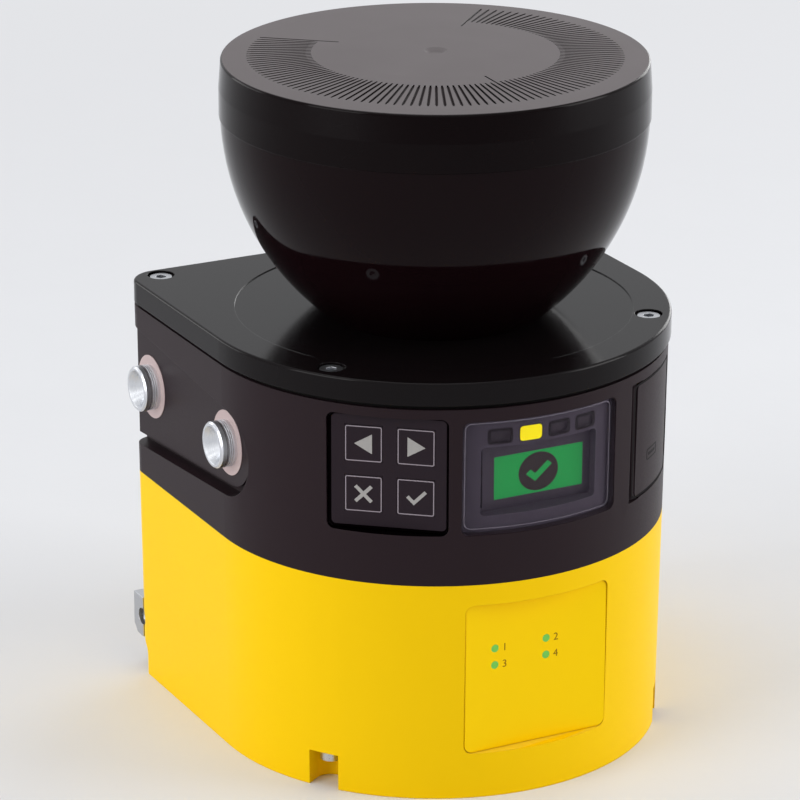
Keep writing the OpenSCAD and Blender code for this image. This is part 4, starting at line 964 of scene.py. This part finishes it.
NETWORK_LIGHT_REACH = 3 * MM
NUMBER_SIZE = 2.6 * MM
NUMBER_DEPTH = 0.01 * MM
NUMBER_SHIFT = 1.9 * MM


def network_numbers():
    """Plain numbers 1 to 4 printed beside the network lights, row by row from the top left."""
    ink = printed("printed_brown", srgb(140, 96, 8), roughness=0.6, spread=0.04)
    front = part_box("network_lights")[0].y
    lights = solid_middles("network_lights", NETWORK_LIGHT_REACH)
    rows = sorted(lights, key=lambda place: (-round(place[1], 4), place[0]))
    for number, (x, z) in enumerate(rows, 1):
        text = bpy.data.curves.new(f"network_number_{number}", "FONT")
        text.body = str(number)
        text.size = NUMBER_SIZE
        text.extrude = NUMBER_DEPTH
        text.materials.append(ink)
        made = bpy.data.objects.new(text.name, text)
        bpy.context.scene.collection.objects.link(made)
        made.rotation_euler = (math.radians(90), 0, 0)
        made.location = (x + NUMBER_SHIFT, front - NUMBER_DEPTH, z - 0.35 * NUMBER_SIZE)
        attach(made, "housing")


# ---------------------------------------------------------------- lamps, floor and camera

LAMP_TARGET = (0, 0, 0.08)
WORLD_COLOUR = (0.93, 0.94, 0.96, 1.0)
WORLD_LIGHT = 0.38
WORLD_SEEN = 0.9

FLOOR_REACH = 6.0
FLOOR_GAP = 0.05 * MM
FLOOR_LIT = 0.3
FLOOR_EVEN = 0.8

CAMERA_PLACE = Vector((-0.4228, -0.7965, 0.4049))
CAMERA_TARGET = Vector((-0.00696, 0.00362, 0.07792))
CAMERA_ROLL = math.radians(0.19)
LENS_LENGTH = 183.0
SENSOR_WIDTH = 36.0


def area_light(name, place, size, power):
    """A soft lamp that is aimed at the middle of the object and isn't seen itself."""
    lamp = bpy.data.lights.new(name, "AREA")
    lamp.shape = "RECTANGLE"
    lamp.size, lamp.size_y = size
    lamp.energy = power
    made = bpy.data.objects.new(name, lamp)
    made.location = place
    aim = Vector(LAMP_TARGET) - Vector(place)
    made.rotation_euler = aim.to_track_quat("-Z", "Y").to_euler()
    made.visible_camera = False
    bpy.context.scene.collection.objects.link(made)


def lamps():
    """Soft lamps from above, from both sides and from behind."""
    area_light("top_lamp", (-0.1, 0.1, 1.3), (1.0, 1.0), 6)
    area_light("left_lamp", (-1.35, -0.2, 0.55), (0.8, 1.0), 10)
    area_light("right_lamp", (1.1, -0.7, 0.5), (0.7, 1.0), 11)
    area_light("rear_left_lamp", (-0.9, 1.3, 0.4), (0.9, 0.7), 5)
    area_light("rear_right_lamp", (1.2, 0.8, 0.4), (0.7, 0.7), 6)


def surround():
    """Pale surround that looks brighter, directly and in reflections, than it lights."""
    world = bpy.data.worlds.new("surround")
    bpy.context.scene.world = world
    world.use_nodes = True
    background = world.node_tree.nodes["Background"]
    background.inputs["Color"].default_value = WORLD_COLOUR
    path = add(world, "ShaderNodeLightPath").outputs
    seen = maths(world, "MAXIMUM", path["Is Camera Ray"], path["Is Glossy Ray"])
    seen = maths(world, "MAXIMUM", seen, path["Is Transmission Ray"])
    link(world, ramp(world, seen, 0, 1, WORLD_LIGHT, WORLD_SEEN), background.inputs["Strength"])


def even_out(mat):
    """Shows the floor as plain pale paper far out, where the lamps light it unevenly."""
    output = mat.node_tree.nodes["Material Output"]
    lit = output.inputs["Surface"].links[0].from_socket
    far = ramp(mat, vector_maths(mat, "LENGTH", object_place(mat)), FLOOR_LIT, FLOOR_EVEN)
    seen = add(mat, "ShaderNodeLightPath").outputs["Is Camera Ray"]
    paper = add(mat, "ShaderNodeEmission", Color=srgb(229, 230, 233))
    mix = add(mat, "ShaderNodeMixShader")
    link(mat, maths(mat, "MULTIPLY", far, seen), mix.inputs[0])
    link(mat, lit, mix.inputs[1])
    link(mat, paper.outputs[0], mix.inputs[2])
    link(mat, mix.outputs[0], output.inputs["Surface"])


def floor():
    """Large pale floor just below the object."""
    mat = grained(
        "floor_paper", srgb(226, 227, 230), 0.8, grain=4 * MM, depth=0.05 * MM, spread=0.01,
        edge=0.0,
    )
    even_out(mat)
    mesh = bmesh.new()
    bmesh.ops.create_grid(mesh, x_segments=8, y_segments=8, size=FLOOR_REACH)
    data = bpy.data.meshes.new("floor")
    mesh.to_mesh(data)
    mesh.free()
    data.materials.append(mat)
    made = bpy.data.objects.new("floor", data)
    made.location.z = cad_box[0][2] - FLOOR_GAP
    bpy.context.scene.collection.objects.link(made)


def camera():
    """Long lens from the front left, a little above."""
    lens = bpy.data.cameras.new("camera")
    lens.lens = LENS_LENGTH
    lens.sensor_width = SENSOR_WIDTH
    made = bpy.data.objects.new("camera", lens)
    made.location = CAMERA_PLACE
    aim = (CAMERA_TARGET - CAMERA_PLACE).to_track_quat("-Z", "Y").to_matrix().to_4x4()
    made.rotation_euler = (aim @ Matrix.Rotation(CAMERA_ROLL, 4, "Z")).to_euler()
    bpy.context.scene.collection.objects.link(made)
    bpy.context.scene.camera = made


dress_housings()
dress_lips()
dress_cover()
dress_keypad_and_display()
dress_inner_parts()
dress_turned_parts()
key_signs()
keypad_seal()
screen_picture()
window_line()
status_light_faces()
flap_details()
screw_threads()
network_numbers()
lamps()
surround()
floor()
camera()
bpy.context.scene.view_settings.view_transform = "Standard"
